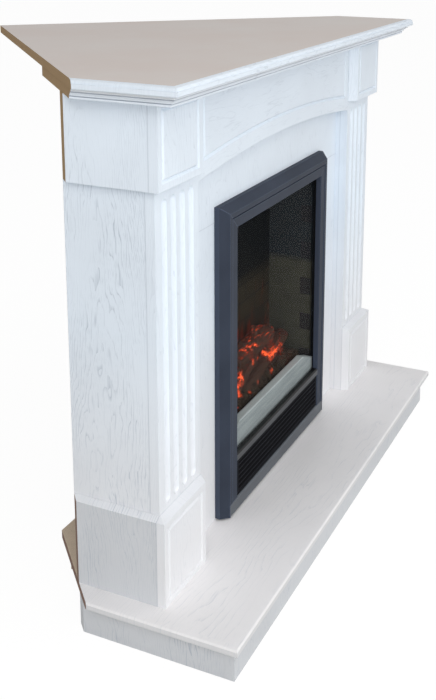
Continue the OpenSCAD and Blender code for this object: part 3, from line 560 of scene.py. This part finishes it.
# Where the two legs of each bracket meet, its turn in degrees, and 1 where it hangs from a board or
# -1 where it stands on one. Depths are measured from the field's front face, which is at FIELD_Y.
BRACKETS =[((x, FIELD_BACK_Y, CORNICE_Z), 0, 1) for x in (-0.3, 0.0, 0.3)]
BRACKETS += [((x, BACK_RAIL_Y, CORNICE_Z), 180, 1) for x in (-0.3, 0.3)]
BRACKETS += [((x, FIELD_BACK_Y, HEARTH_Z), 0, -1) for x in (-0.42, 0.42)]
BRACKETS += [((side * SIDE_IN, SIDE_BRACKET_Y, CORNICE_Z), 90 * side, 1) for side in (-1, 1)]
BRACKETS += [((side * SIDE_IN, SIDE_BRACKET_Y, HEARTH_Z), 90 * side, -1) for side in (-1, 1)]
BRACKET_T = 0.0025
SCREW_IN = 0.028
SCREW_SIDES = 20
HEAD_H = 0.0022
# outline of half a screw in millimetres, from the middle of its head to its point
SCREW_OUTLINE = [(0.0, -2.2), (2.4, -2.1), (3.4, -1.6), (3.9, -0.9), (4.0, 0.0), (2.0, 0.0)]
for z in (1.0, 2.6, 4.2, 5.8, 7.4):
    SCREW_OUTLINE += [(1.6, z), (1.95, z + 0.4)]
SCREW_OUTLINE += [(1.6, 9.0), (1.9, 9.4), (1.4, 11.0), (1.6, 11.4), (0.0, 15.0)]


def screw_tree(finish):
    """Geometry: a turned screw with a cross cut in its head, set on points that know its direction."""
    tree, given = geometry_tree("pan_head_screws", {
        "Screw": None, "Recess Width": 0.0011, "Recess Length": 0.0044, "Recess Depth": 0.0014})
    whole = put(tree, "GeometryNodeObjectInfo", {"Object": given["Screw"]}).outputs["Geometry"]
    twice = times(tree, given["Recess Depth"], 2.0)
    head_top = xyz(tree, 0.0, 0.0, -HEAD_H)
    cut = put(tree, "GeometryNodeMeshBoolean", {0: whole}, operation="DIFFERENCE")
    for wide, long in (("Recess Width", "Recess Length"), ("Recess Length", "Recess Width")):
        size = xyz(tree, given[wide], given[long], twice)
        bar = put(tree, "GeometryNodeMeshCube", {"Size": size})
        moved = put(tree, "GeometryNodeTransform", {"Geometry": bar, "Translation": head_top})
        feed(tree, moved, cut.inputs[1])
    way = put(tree, "GeometryNodeInputNamedAttribute", {"Name": "way"}, data_type="FLOAT_VECTOR")
    turn = put(tree, "FunctionNodeAlignRotationToVector", {"Vector": way}, axis="Z")
    placed = put(tree, "GeometryNodeInstanceOnPoints", {
        "Points": given["Geometry"], "Instance": cut, "Rotation": turn})
    end_tree(tree, put(tree, "GeometryNodeRealizeInstances", {0: placed}), finish)
    return tree


def turned_mesh(name, outline, sides):
    """A closed body turned round Z from half its outline, in millimetres."""
    mesh = bpy.data.meshes.new(name)
    body = bmesh.new()
    chain = [body.verts.new((r / 1000, 0, z / 1000)) for r, z in outline]
    edges = [body.edges.new(pair) for pair in zip(chain, chain[1:])]
    bmesh.ops.spin(body, geom=chain + edges, cent=(0, 0, 0), axis=(0, 0, 1), angle=2 * math.pi,
                   steps=sides, use_merge=True)
    bmesh.ops.remove_doubles(body, verts=body.verts, dist=1e-6)
    bmesh.ops.recalc_face_normals(body, faces=body.faces)
    body.to_mesh(mesh)
    body.free()
    return mesh


one_screw = bpy.data.objects.new("one_screw", turned_mesh("one_screw", SCREW_OUTLINE, SCREW_SIDES))
bpy.context.collection.objects.link(one_screw)
spots, ways = [], []
for corner, degrees, hangs in BRACKETS:
    turn = Matrix.Rotation(math.radians(degrees), 3, "Z") @ Matrix.Diagonal((1, 1, hangs))
    middle = Vector(corner) + Vector((0, FIELD_Y, 0))
    for off, way in (((0, SCREW_IN, -BRACKET_T), (0, 0, 1)), ((0, BRACKET_T, -SCREW_IN), (0, -1, 0))):
        spots.append(middle + turn @ Vector(off))
        ways.append(turn @ Vector(way))
spots_mesh = bpy.data.meshes.new("screw_spots")
spots_mesh.from_pydata(spots, [], [])
layer = spots_mesh.attributes.new("way", "FLOAT_VECTOR", "POINT")
for i, way in enumerate(ways):
    layer.data[i].vector = way
screws = plain_mesh("pan_head_screws", screw_tree(ZINC), {"Screw": one_screw}, source=spots_mesh)
bpy.data.objects.remove(one_screw)
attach(screws, "root")
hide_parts("bracket_screws")


# ---------- the fire's trim ----------
# Bevelled steel section with mitred corners, in a fine graphite powder coat, and a bottom bar and a
# middle rail in the same finish, with their edges painted paler as a highlight. The rail's top face is
# painted black, as painted shade at the foot of the glass.

LEDGE_SHADE_BLACK = srgb(0.04, 0.04, 0.045)
# radius of the painted highlight along edges
EDGE_HIGHLIGHT_RADIUS = 0.0025


def powder_coat(name, colour, roughness, gloss=0.3, edge=1.0, sides=0.0, painted_shade_ledge=False):
    """Speckled paint, with painted light: edge says how much paler its edges are painted, as a highlight, and
    sides how much paler its side faces, as light from the side.
    """
    material, tree, shader, place = clean_material(name)
    speckle = cloud(tree, place, 1300.0, 2.0)
    patch = spread(tree, cloud(tree, place, 9.0, 2.0), *MOST)
    paler = shade(colour, 1.5)
    body = mix_colour(tree, times(tree, spread(tree, speckle, 0.55, 0.72), 0.5), colour, paler)
    body = mix_colour(tree, patch, body, shade(colour, 0.8))
    faced = facing(tree)
    nx, ny, nz = split(tree, faced)
    # painted light: side faces are painted paler, by the share that sides gives
    sideways = over(tree, calc(tree, "ABSOLUTE", nx), 0.9)
    body = mix_colour(tree, times(tree, sideways, sides), body, paler)
    # painted highlight: the paint is paler along an edge, where a rounded normal leaves the true one
    rounded = put(tree, "ShaderNodeBevel", {"Radius": EDGE_HIGHLIGHT_RADIUS}, samples=6)
    same = put(tree, "ShaderNodeVectorMath", {0: rounded, 1: faced}, operation="DOT_PRODUCT").outputs["Value"]
    body = mix_colour(tree, spread(tree, same, 0.86, 0.99, 1.0, 0.0), body, shade(colour, 1 + edge))
    # painted shade: faces that look up are painted black
    if painted_shade_ledge:
        body = mix_colour(tree, over(tree, nz, 0.5), body, LEDGE_SHADE_BLACK)
    give(tree, shader, {
        "Base Color": body, "Roughness": roughness, "Specular IOR Level": gloss,
        "Normal": soft_edges(tree, 0.0009, speckle, strength=0.2, depth=0.0002)})
    return material


GRAPHITE = powder_coat("graphite_paint", srgb(0.21, 0.235, 0.285), 0.5, gloss=0.1, sides=0.9)
dress(GRAPHITE, "trim_top", "trim_left", "trim_right")
dress(powder_coat("rail_paint", srgb(0.25, 0.26, 0.275), 0.45, painted_shade_ledge=True), "middle_rail")
dress(powder_coat("bar_paint", srgb(0.33, 0.35, 0.375), 0.42), "trim_bottom_bar")


# ---------- grille ----------
# A row of black steel louvres between two end plates. It hangs on two pins at its lower edge, and
# drops forward to show the controls. The louvres' edges are painted paler, as a highlight.

BLACK_PAINT = powder_coat("black_paint", srgb(0.06, 0.062, 0.075), 0.55, gloss=0.03, edge=4.0)
dress(BLACK_PAINT, "louvre_grille")


# ---------- case ----------
# Folded sheet steel painted black, with air slots at the back, and the deck that carries the fuel
# effect. It stands between the two battens, behind the trim.

CASE_STEEL = powder_coat("case_steel", srgb(0.12, 0.12, 0.13), 0.6, gloss=0.25)
dress(CASE_STEEL, "case_back", "case_left", "case_right", "case_top", "case_floor", "fire_deck")


# ---------- glass ----------
# A pane of dark toughened glass, held behind the trim and the middle rail. It is smeared a little,
# and looks blue in the light.

def smoked_glass():
    material, tree, shader, place = clean_material("fire_glass")
    smears = cloud(tree, place, 14.0, 3.0)
    give(tree, shader, {
        "Base Color": mix_colour(tree, smears, srgb(0.06, 0.09, 0.12), srgb(0.08, 0.11, 0.14)),
        "Alpha": 0.10, "Roughness": 0.05, "Specular IOR Level": 0.04})
    return material


dress(smoked_glass(), "glass_pane")


# ---------- brick sides ----------
# Moulded panels with courses of brick in relief. Every other course ends at the front in a darker
# half brick. The upper courses are painted dark blue, as painted shade and a painted reflection from
# the glass, and the lower ones are olive.

COURSE_H = 0.044
FOOT_H = 0.008
BLUE_FROM_Z, BLUE_BLEND = 0.465, 0.008
DARK_BEFORE_Y = -0.19
# how far the moulded faces stray from flat, and the bumps to a metre
BUMP_H, BUMP_SCALE = 0.0018, 160.0


def joined(tree, *parts):
    """Several meshes as one."""
    node = put(tree, "GeometryNodeJoinGeometry")
    for part in parts:
        feed(tree, part, node.inputs[0])
    return node


def brick_tree(finish):
    """Geometry: a backing board with courses of whole and half bricks on the face that looks inwards."""
    tree, given = geometry_tree("brick_panel", {
        "Back X": 0.206, "Face X": 0.2, "Front Y": 0.0, "Back Y": 0.1, "Low Z": 0.2, "High Z": 0.6,
        "Course": COURSE_H, "Foot": FOOT_H, "Mortar": 0.004, "Half Brick": 0.026, "Relief": 0.0016,
        "Courses": 10})
    relief, course = given["Relief"], given["Course"]

    def middle(first, second):
        return times(tree, plus(tree, first, second), 0.5)

    depth = minus(tree, given["Back Y"], given["Front Y"])
    height = minus(tree, given["High Z"], given["Low Z"])
    outwards = calc(tree, "SIGN", minus(tree, given["Back X"], given["Face X"]))
    ground = plus(tree, given["Face X"], times(tree, relief, outwards))
    thick = calc(tree, "ABSOLUTE", minus(tree, given["Back X"], ground))
    centre = xyz(tree, middle(ground, given["Back X"]), middle(given["Front Y"], given["Back Y"]),
                 middle(given["Low Z"], given["High Z"]))
    board = put(tree, "GeometryNodeMeshCube", {"Size": xyz(tree, thick, depth, height)})
    board = put(tree, "GeometryNodeTransform", {"Geometry": board, "Translation": centre})
    first_z = plus(tree, plus(tree, given["Low Z"], given["Foot"]), times(tree, course, 0.5))
    first = xyz(tree, middle(ground, given["Face X"]), given["Front Y"], first_z)
    step = xyz(tree, 0.0, 0.0, course)
    rows = put(tree, "GeometryNodeMeshLine", {"Count": given["Courses"], "Start Location": first,
                                              "Offset": step}, mode="OFFSET")
    odd = calc(tree, "MODULO", put(tree, "GeometryNodeInputIndex"), 2.0)
    brick_h = minus(tree, course, given["Mortar"])
    half = given["Half Brick"]
    whole = minus(tree, minus(tree, depth, half), given["Mortar"])
    bricks = []
    for length, at_front, is_half in ((whole, odd, 0.0), (half, minus(tree, 1.0, odd), 1.0)):
        near = times(tree, length, 0.5)
        far = minus(tree, depth, near)
        shift = put(tree, "ShaderNodeMix", {0: at_front, 2: far, 3: near}, data_type="FLOAT")
        moved = put(tree, "GeometryNodeSetPosition", {"Geometry": rows, "Offset": xyz(tree, 0.0, shift, 0.0)})
        brick = put(tree, "GeometryNodeMeshCube", {
            "Size": xyz(tree, relief, length, brick_h), "Vertices X": 2, "Vertices Y": 14, "Vertices Z": 8})
        named = put(tree, "GeometryNodeStoreNamedAttribute", {
            "Geometry": brick, "Name": "half", "Value": is_half}, data_type="FLOAT", domain="POINT")
        bricks.append(put(tree, "GeometryNodeInstanceOnPoints", {"Points": moved, "Instance": named}))
    real = put(tree, "GeometryNodeRealizeInstances", {0: joined(tree, *bricks)})
    bumps = cloud(tree, put(tree, "GeometryNodeInputPosition"), BUMP_SCALE, 2.0)
    lift = times(tree, minus(tree, bumps, 0.5), BUMP_H)
    rough = put(tree, "GeometryNodeSetPosition", {"Geometry": real, "Offset": xyz(tree, lift, lift, lift)})
    end_tree(tree, joined(tree, rough, board), finish)
    return tree


def brick_finish():
    material, tree, shader, place = clean_material("brick_panel")
    x, y, z = split(tree, place)
    half = put(tree, "ShaderNodeAttribute", attribute_name="half").outputs["Fac"]
    # only a half brick at the front is dark
    half = times(tree, half, under(tree, y, DARK_BEFORE_Y))
    grit = cloud(tree, place, 420.0, 4.0, 0.7)
    stain = cloud(tree, place, 34.0, 3.0)
    low = mix_colour(tree, stain, srgb(0.33, 0.33, 0.27), srgb(0.25, 0.25, 0.22))
    # painted shade and reflection: the upper courses are dark blue
    high = mix_colour(tree, stain, srgb(0.15, 0.19, 0.22), srgb(0.11, 0.14, 0.16))
    body = mix_colour(tree, spread(tree, z, BLUE_FROM_Z - BLUE_BLEND, BLUE_FROM_Z + BLUE_BLEND), low, high)
    body = mix_colour(tree, times(tree, half, 0.8), body, srgb(0.14, 0.135, 0.16))
    body = mix_colour(tree, times(tree, grit, 0.35), body, srgb(0.30, 0.29, 0.26))
    bump = put(tree, "ShaderNodeBump", {"Height": grit, "Strength": 0.5, "Distance": 0.0008})
    give(tree, shader, {"Base Color": body, "Roughness": 0.9, "Specular IOR Level": 0.2, "Normal": bump})
    return material


BRICKS = brick_tree(brick_finish())
for side in ("left", "right"):
    low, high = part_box(side + "_brick_liner")
    back_x, face_x = (low[0], high[0]) if side == "left" else (high[0], low[0])
    courses = math.floor((high[2] - low[2] - FOOT_H) / COURSE_H)
    panel = plain_mesh(side + "_brick_side", BRICKS, {
        "Back X": back_x, "Face X": face_x, "Front Y": low[1], "Back Y": high[1], "Low Z": low[2],
        "High Z": high[2], "Courses": courses})
    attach(panel, "root")
    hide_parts(side + "_brick_liner")


# ---------- flame screen ----------
# A dark half-mirrored sheet at the back of the firebox. Its lower half shows a faint brick pattern
# and the flames that the rotor throws on it.

BRICKS_FADE_Z = (0.432, 0.462)
FLAMES_FADE_Z = (0.25, 0.46)
FLAMES_FADE_X = (-0.02, 0.12)


def screen_finish():
    material, tree, shader, place = clean_material("screen_acrylic")
    x, y, z = split(tree, place)
    bricks = put(tree, "ShaderNodeTexBrick", {
        "Vector": xyz(tree, x, z, 0.0), "Color1": srgb(0.25, 0.22, 0.16), "Color2": srgb(0.20, 0.18, 0.14),
        "Mortar": srgb(0.12, 0.11, 0.09), "Scale": 1.0, "Mortar Size": 0.0022, "Brick Width": 0.1,
        "Row Height": COURSE_H}).outputs["Color"]
    soot = times(tree, cloud(tree, place, 90.0, 4.0), 0.5)
    body = mix_colour(tree, soot, bricks, srgb(0.16, 0.13, 0.10))
    body = mix_colour(tree, spread(tree, z, *BRICKS_FADE_Z), body, srgb(0.035, 0.035, 0.035))
    # flames: tall streaks that thin out upwards and lean to the left half of the screen
    heat = cloud(tree, drawn_out(tree, place, (38.0, 1.0, 9.0)), 1.0, 3.0, twist=1.2)
    heat = minus(tree, heat, spread(tree, z, *FLAMES_FADE_Z, 0.0, 0.30))
    heat = minus(tree, heat, spread(tree, x, *FLAMES_FADE_X, 0.0, 0.12))
    glow = mix_colour(tree, spread(tree, heat, 0.30, 0.55), (0, 0, 0, 1), srgb(0.50, 0.14, 0.05))
    give(tree, shader, {"Base Color": body, "Roughness": 0.35, "Specular IOR Level": 0.15,
                        "Emission Color": glow, "Emission Strength": 0.6})
    return material


dress(screen_finish(), "flame_screen")


# ---------- embers and logs ----------
# A moulded bed of coals with resin logs laid across it, lit from below: the light shows red in the
# gaps and along the cracks of the bark. Painted by hand at the factory, dark brown over grey.

# places on the embers and logs where the light shows, and their radius, in metres
GLOWS = [
    ((0.08, -0.203, 0.28), 0.013), ((0.11, -0.202, 0.282), 0.015), ((0.145, -0.198, 0.276), 0.012),
    ((-0.032, -0.192, 0.337), 0.008), ((-0.008, -0.193, 0.333), 0.008), ((0.018, -0.193, 0.329), 0.008),
    ((0.003, -0.196, 0.295), 0.008), ((0.035, -0.193, 0.294), 0.007), ((0.073, -0.188, 0.287), 0.007),
    ((-0.059, -0.194, 0.291), 0.009), ((-0.07, -0.203, 0.282), 0.009), ((-0.091, -0.204, 0.279), 0.009),
    ((0.061, -0.216, 0.257), 0.008), ((-0.008, -0.214, 0.258), 0.006), ((-0.061, -0.218, 0.257), 0.005),
    ((-0.096, -0.209, 0.262), 0.007), ((-0.129, -0.224, 0.249), 0.006),
]
# the middles of broader places that shimmer faintly, and their radius
SHIMMERS = [
    ((0.03, -0.18, 0.345), 0.035), ((0.10, -0.185, 0.335), 0.035), ((-0.04, -0.19, 0.325), 0.030),
    ((0.15, -0.198, 0.285), 0.030), ((0.06, -0.193, 0.325), 0.030),
]


def give_glow(mesh):
    """Stores at each vertex how strongly the light from below shows there, 0 to 1."""
    for name, places in (("ember_glow", GLOWS), ("shimmer", SHIMMERS)):
        layer = mesh.attributes.new(name, "FLOAT", "POINT")
        for vertex in mesh.vertices:
            away = [(vertex.co - Vector(centre)).length / radius for centre, radius in places]
            layer.data[vertex.index].value = min(1.0, sum(max(0.0, 1 - a / 2) for a in away))


def fuel_finish(name, dark, light, crack_scale):
    """Painted resin: glowing cracks and fibres that run along X, as the logs do."""
    material, tree, shader, place = clean_material(name)
    heat = put(tree, "ShaderNodeAttribute", attribute_name="ember_glow").outputs["Fac"]
    shimmer = put(tree, "ShaderNodeAttribute", attribute_name="shimmer").outputs["Fac"]
    ash = cloud(tree, place, 70.0, 5.0, 0.65)
    fibres = cloud(tree, drawn_out(tree, place, (38.0, 340.0, 340.0)), 1.0, 3.0, twist=0.6)
    cells = put(tree, "ShaderNodeTexVoronoi", {"Vector": place, "Scale": crack_scale},
                feature="DISTANCE_TO_EDGE").outputs["Distance"]
    cracks = spread(tree, cells, 0.02, 0.16, 1.0, 0.0)
    body = mix_colour(tree, ash, dark, light)
    body = mix_colour(tree, spread(tree, fibres, 0.5, 0.62, 0.0, 0.6), body, srgb(0.08, 0.06, 0.05))
    height = plus(tree, ash, times(tree, fibres, 0.8))
    bump = put(tree, "ShaderNodeBump", {"Height": height, "Strength": 0.8, "Distance": 0.002})
    core = times(tree, spread(tree, heat, 0.5, 0.95), spread(tree, fibres, 0.42, 0.56))
    seams = times(tree, cracks, spread(tree, heat, 0.3, 1.0))
    streaks = times(tree, spread(tree, fibres, 0.58, 0.66), shimmer)
    lit = calc(tree, "ADD", calc(tree, "MAXIMUM", core, seams), times(tree, streaks, 0.65), clamp=True)
    give(tree, shader, {
        "Base Color": body, "Roughness": 0.85, "Specular IOR Level": 0.15, "Normal": bump,
        "Emission Color": mix_colour(tree, lit, srgb(0.60, 0.09, 0.03), srgb(1.0, 0.36, 0.17)),
        "Emission Strength": times(tree, calc(tree, "POWER", lit, 1.2), 1.8)})
    return material


# the mound under the coals: a sheet of points over the deck, walled round and closed below
deck_low, deck_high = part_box("ember_bed")
COLUMNS, ROWS, INSET = 120, 34, 0.006
RIM_H, CROWN_H = 0.030, 0.036
END_RISE, SIDE_RISE, SIDE_START = 6, 5, 0.02
HUMP_H, HUMPS_TO_M = 0.010, 55
LUMP_H, LUMPS_TO_M = 0.005, 140
bed = bmesh.new()
grid = []
for i in range(COLUMNS + 1):
    column = []
    for j in range(ROWS + 1):
        across, back = i / COLUMNS, j / ROWS
        px = deck_low[0] + (deck_high[0] - deck_low[0]) * across
        py = deck_low[1] + INSET + (deck_high[1] - deck_low[1] - 2 * INSET) * back
        ends = min(1.0, END_RISE * min(across, 1 - across)) ** 0.5
        sides = min(1.0, SIDE_RISE * min(back + SIDE_START, 1 + SIDE_START - back)) ** 0.5
        humps = HUMP_H * noise.noise(Vector((px * HUMPS_TO_M, py * HUMPS_TO_M, 1)))
        lumps = LUMP_H * noise.noise(Vector((px * LUMPS_TO_M, py * LUMPS_TO_M, 4)))
        top = min(deck_high[2], deck_low[2] + RIM_H + CROWN_H * ends * sides + (humps + lumps))
        column.append(bed.verts.new((px, py, top)))
    grid.append(column)
for first, second in zip(grid, grid[1:]):
    for j in range(ROWS):
        bed.faces.new((first[j], second[j], second[j + 1], first[j + 1]))
rim = [column[0] for column in grid] + grid[-1][1:]
rim += [column[-1] for column in grid[-2::-1]] + grid[0][-2:0:-1]
feet = [bed.verts.new((v.co.x, v.co.y, deck_low[2])) for v in rim]
for k, v in enumerate(rim):
    n = (k + 1) % len(rim)
    bed.faces.new((rim[n], v, feet[k], feet[n]))
bed.faces.new(list(reversed(feet)))
bmesh.ops.recalc_face_normals(bed, faces=bed.faces)
bed_mesh = bpy.data.meshes.new("ember_base")
bed.to_mesh(bed_mesh)
bed.free()

COALS_TO_M2 = 9000.0
COAL_SLOPE = 0.3
DENT_SCALE, DENT_DEPTH = 150.0, 0.011


def coal_tree(finish):
    """Geometry: coals strewn over a mound, each one turned, sized and dented by itself."""
    tree, given = geometry_tree("coals", {"Spacing": 0.011, "Coal Radius": 0.009, "Seed": 7})
    upward = over(tree, split(tree, put(tree, "GeometryNodeInputNormal"))[2], COAL_SLOPE)
    strewn = put(tree, "GeometryNodeDistributePointsOnFaces", {
        "Mesh": given["Geometry"], "Selection": upward, "Distance Min": given["Spacing"],
        "Density Max": COALS_TO_M2, "Seed": given["Seed"]}, distribute_method="POISSON")
    coal = put(tree, "GeometryNodeMeshIcoSphere", {"Radius": given["Coal Radius"], "Subdivisions": 3})

    def drawn_by_lot(low, high):
        return put(tree, "FunctionNodeRandomValue", {"Min": low, "Max": high, "Seed": given["Seed"]},
                   data_type="FLOAT_VECTOR")

    laid = put(tree, "GeometryNodeInstanceOnPoints", {
        "Points": strewn, "Instance": coal,
        "Rotation": drawn_by_lot((0.0, 0.0, 0.0), (6.3, 6.3, 6.3)),
        "Scale": drawn_by_lot((0.55, 0.5, 0.45), (1.35, 1.2, 1.0))})
    real = put(tree, "GeometryNodeRealizeInstances", {0: laid})
    spot = put(tree, "GeometryNodeInputPosition")
    dents = put(tree, "ShaderNodeTexNoise", {"Vector": spot, "Scale": DENT_SCALE, "Detail": 2.0})
    centred = put(tree, "ShaderNodeVectorMath", {0: dents.outputs["Color"], 1: (0.5, 0.5, 0.5)},
                  operation="SUBTRACT")
    shift = put(tree, "ShaderNodeVectorMath", {0: centred, 3: DENT_DEPTH}, operation="SCALE")
    dented = put(tree, "GeometryNodeSetPosition", {"Geometry": real, "Offset": shift})
    covered = joined(tree, dented, given["Geometry"])
    end_tree(tree, put(tree, "GeometryNodeSetShadeSmooth", {"Geometry": covered}), finish)
    return tree


EMBER = fuel_finish("ember_resin", srgb(0.17, 0.14, 0.11), srgb(0.33, 0.27, 0.21), 65.0)
embers = plain_mesh("embers", coal_tree(EMBER), {}, source=bed_mesh)
give_glow(embers.data)
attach(embers, "root")
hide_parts("ember_bed")

LOG_BASE = 0.062
# ends of each log's axis, measured from the field's front face and the deck, and its radius
LOGS = [
    ((-0.196, 0.074, LOG_BASE + 0.002), (0.150, 0.078, LOG_BASE + 0.026), 0.022),
    ((-0.070, 0.040, LOG_BASE - 0.006), (0.200, 0.058, LOG_BASE + 0.030), 0.019),
    ((-0.168, 0.038, LOG_BASE - 0.008), (0.040, 0.060, LOG_BASE + 0.040), 0.017),
    ((-0.070, 0.060, LOG_BASE + 0.062), (0.128, 0.064, LOG_BASE + 0.062), 0.024),
]
LOG_TAPER = 0.86
LOG_SIDES, LOG_RINGS, STUB_RINGS = 64, 90, 16
# a cut branch on each log: where it stands, its length and its two radii, as shares of the log's
STUB_AT, STUB_LENGTH, STUB_FOOT, STUB_END = 0.55, 1.8, 0.45, 0.35
STUB_WAY = Vector((0.2, -0.1, 1))
# ridges and swellings of the bark, as shares of the radius, and the worn and broken ends in metres
RIDGE, SWELL, END_WEAR = 0.45, 0.20, 0.20
WORN_LENGTH, BREAK_DEPTH = 0.006, 0.004


def bark_rod(mesh, start, end, radius, end_radius, seed, rings):
    """Adds a knotty rod with ridged bark and broken ends to a bmesh."""
    axis = end - start
    turn = axis.to_track_quat("Z", "Y")
    loops = []
    for i in range(rings + 1):
        share = i / rings
        far = share * axis.length
        wear = 1 - END_WEAR + END_WEAR * min(1.0, min(far, axis.length - far) / WORN_LENGTH) ** 0.5
        loop = []
        for k in range(LOG_SIDES):
            a = 2 * math.pi * k / LOG_SIDES
            around = Vector((math.cos(a), math.sin(a), 0))
            ridge = abs(noise.noise(Vector((around.x * 6, around.y * 6, far * 9 + seed * 5))))
            swell = noise.noise(Vector((around.x * 1.75, around.y * 1.75, far * 5.6 + seed * 2.45)))
            r = radius + (end_radius - radius) * share
            r *= (1 + SWELL * swell + RIDGE * (0.22 - ridge)) * wear
            break_off = BREAK_DEPTH * noise.noise(around * 3 + Vector((seed, 0, i))) if i in (0, rings) else 0
            loop.append(mesh.verts.new(start + turn @ (around * r + Vector((0, 0, far + break_off)))))
        loops.append(loop)
    for near, next_one in zip(loops, loops[1:]):
        for k in range(LOG_SIDES):
            n = (k + 1) % LOG_SIDES
            mesh.faces.new((near[k], near[n], next_one[n], next_one[k]))
    for loop, place in ((loops[0], start), (loops[-1], end)):
        centre = mesh.verts.new(place)
        for k in range(LOG_SIDES):
            mesh.faces.new((loop[k], loop[(k + 1) % LOG_SIDES], centre))


bark = bmesh.new()
for number, (first_end, last_end, radius) in enumerate(LOGS):
    start, end = (Vector((p[0], p[1] + FIELD_Y, p[2] + deck_low[2])) for p in (first_end, last_end))
    bark_rod(bark, start, end, radius, radius * LOG_TAPER, number + 1, LOG_RINGS)
    stub_start = start + (end - start) * STUB_AT
    stub_way = (STUB_WAY - (end - start).normalized() * 0.1).normalized()
    stub_end = stub_start + stub_way * STUB_LENGTH * radius
    bark_rod(bark, stub_start, stub_end, radius * STUB_FOOT, radius * STUB_END, number + 9, STUB_RINGS)
bmesh.ops.recalc_face_normals(bark, faces=bark.faces)
logs_mesh = bpy.data.meshes.new("burning_logs")
bark.to_mesh(logs_mesh)
bark.free()
logs_mesh.shade_smooth()
logs_mesh.materials.append(fuel_finish("log_ceramic", srgb(0.16, 0.12, 0.10), srgb(0.40, 0.29, 0.23), 48.0))
give_glow(logs_mesh)
logs = bpy.data.objects.new("burning_logs", logs_mesh)
bpy.context.collection.objects.link(logs)
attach(logs, "root")
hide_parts("log_set")


# ---------- kerb ----------
# A moulded strip of pale stone effect in front of the embers, with sloping ends. Its flat top is
# painted paler than its face, as painted light.

STONE_PALE = srgb(0.72, 0.76, 0.765)
STONE_DARK = srgb(0.65, 0.69, 0.695)
STONE_LIT_TOP = srgb(0.82, 0.86, 0.86)


def stone_finish():
    material, tree, shader, place = clean_material("kerb_stone")
    streaks = spread(tree, cloud(tree, drawn_out(tree, place, (12.0, 90.0, 110.0)), 1.0, 5.0, 0.6), *MOST)
    grit = cloud(tree, place, 600.0, 2.0)
    body = mix_colour(tree, streaks, STONE_PALE, STONE_DARK)
    # painted light: faces that look up are painted paler
    body = mix_colour(tree, over(tree, split(tree, facing(tree))[2], 0.5), body, STONE_LIT_TOP)
    bump = put(tree, "ShaderNodeBump", {"Height": grit, "Strength": 0.4, "Distance": 0.0006})
    give(tree, shader, {"Base Color": body, "Roughness": 0.75, "Specular IOR Level": 0.25, "Normal": bump})
    return material


dress(stone_finish(), "front_kerb")


# ---------- flame rotor, lamps and fan heater ----------
# A shaft with vanes of bright foil in front of its motor, three lamps in holders under the embers,
# and a cross-flow fan that blows over a wire element through the grille.

dress(metal("bright_foil", srgb(0.86, 0.87, 0.88), 0.12), "flame_rotor")
dress(metal("element_steel", srgb(0.55, 0.52, 0.5), 0.35), "heating_element")


def moulded_plastic(name, colour, roughness):
    material, tree, shader, place = clean_material(name)
    grain = cloud(tree, place, 2200.0, 1.0)
    flow = cloud(tree, place, 30.0, 2.0)
    give(tree, shader, {
        "Base Color": mix_colour(tree, flow, colour, shade(colour, 1.35, 0.004)), "Roughness": roughness,
        "Normal": soft_edges(tree, 0.0006, grain, strength=0.2, depth=0.0002)})
    return material


BLACK_PLASTIC = moulded_plastic("black_plastic", srgb(0.085, 0.085, 0.09), 0.45)
dress(BLACK_PLASTIC, "blower_wheel", "blower_motor", "control_panel")
dress(moulded_plastic("black_nylon", srgb(0.07, 0.07, 0.075), 0.55), "cable_gland")


def lamp_glass():
    material, tree, shader, place = clean_material("lamp_glass")
    frosting = cloud(tree, place, 60.0, 2.0)
    give(tree, shader, {
        "Base Color": mix_colour(tree, frosting, srgb(0.98, 0.72, 0.40), srgb(0.95, 0.60, 0.30)),
        "Roughness": 0.2, "Emission Color": srgb(1.0, 0.55, 0.25), "Emission Strength": 1.0})
    return material


dress(lamp_glass(), "lamps")


# ---------- controls ----------
# Three rockers and a thermostat knob, moulded in black plastic. They snap into a black panel behind
# the grille.

dress(BLACK_PLASTIC, "flame_switch", "half_heat_switch", "full_heat_switch", "thermostat_knob")
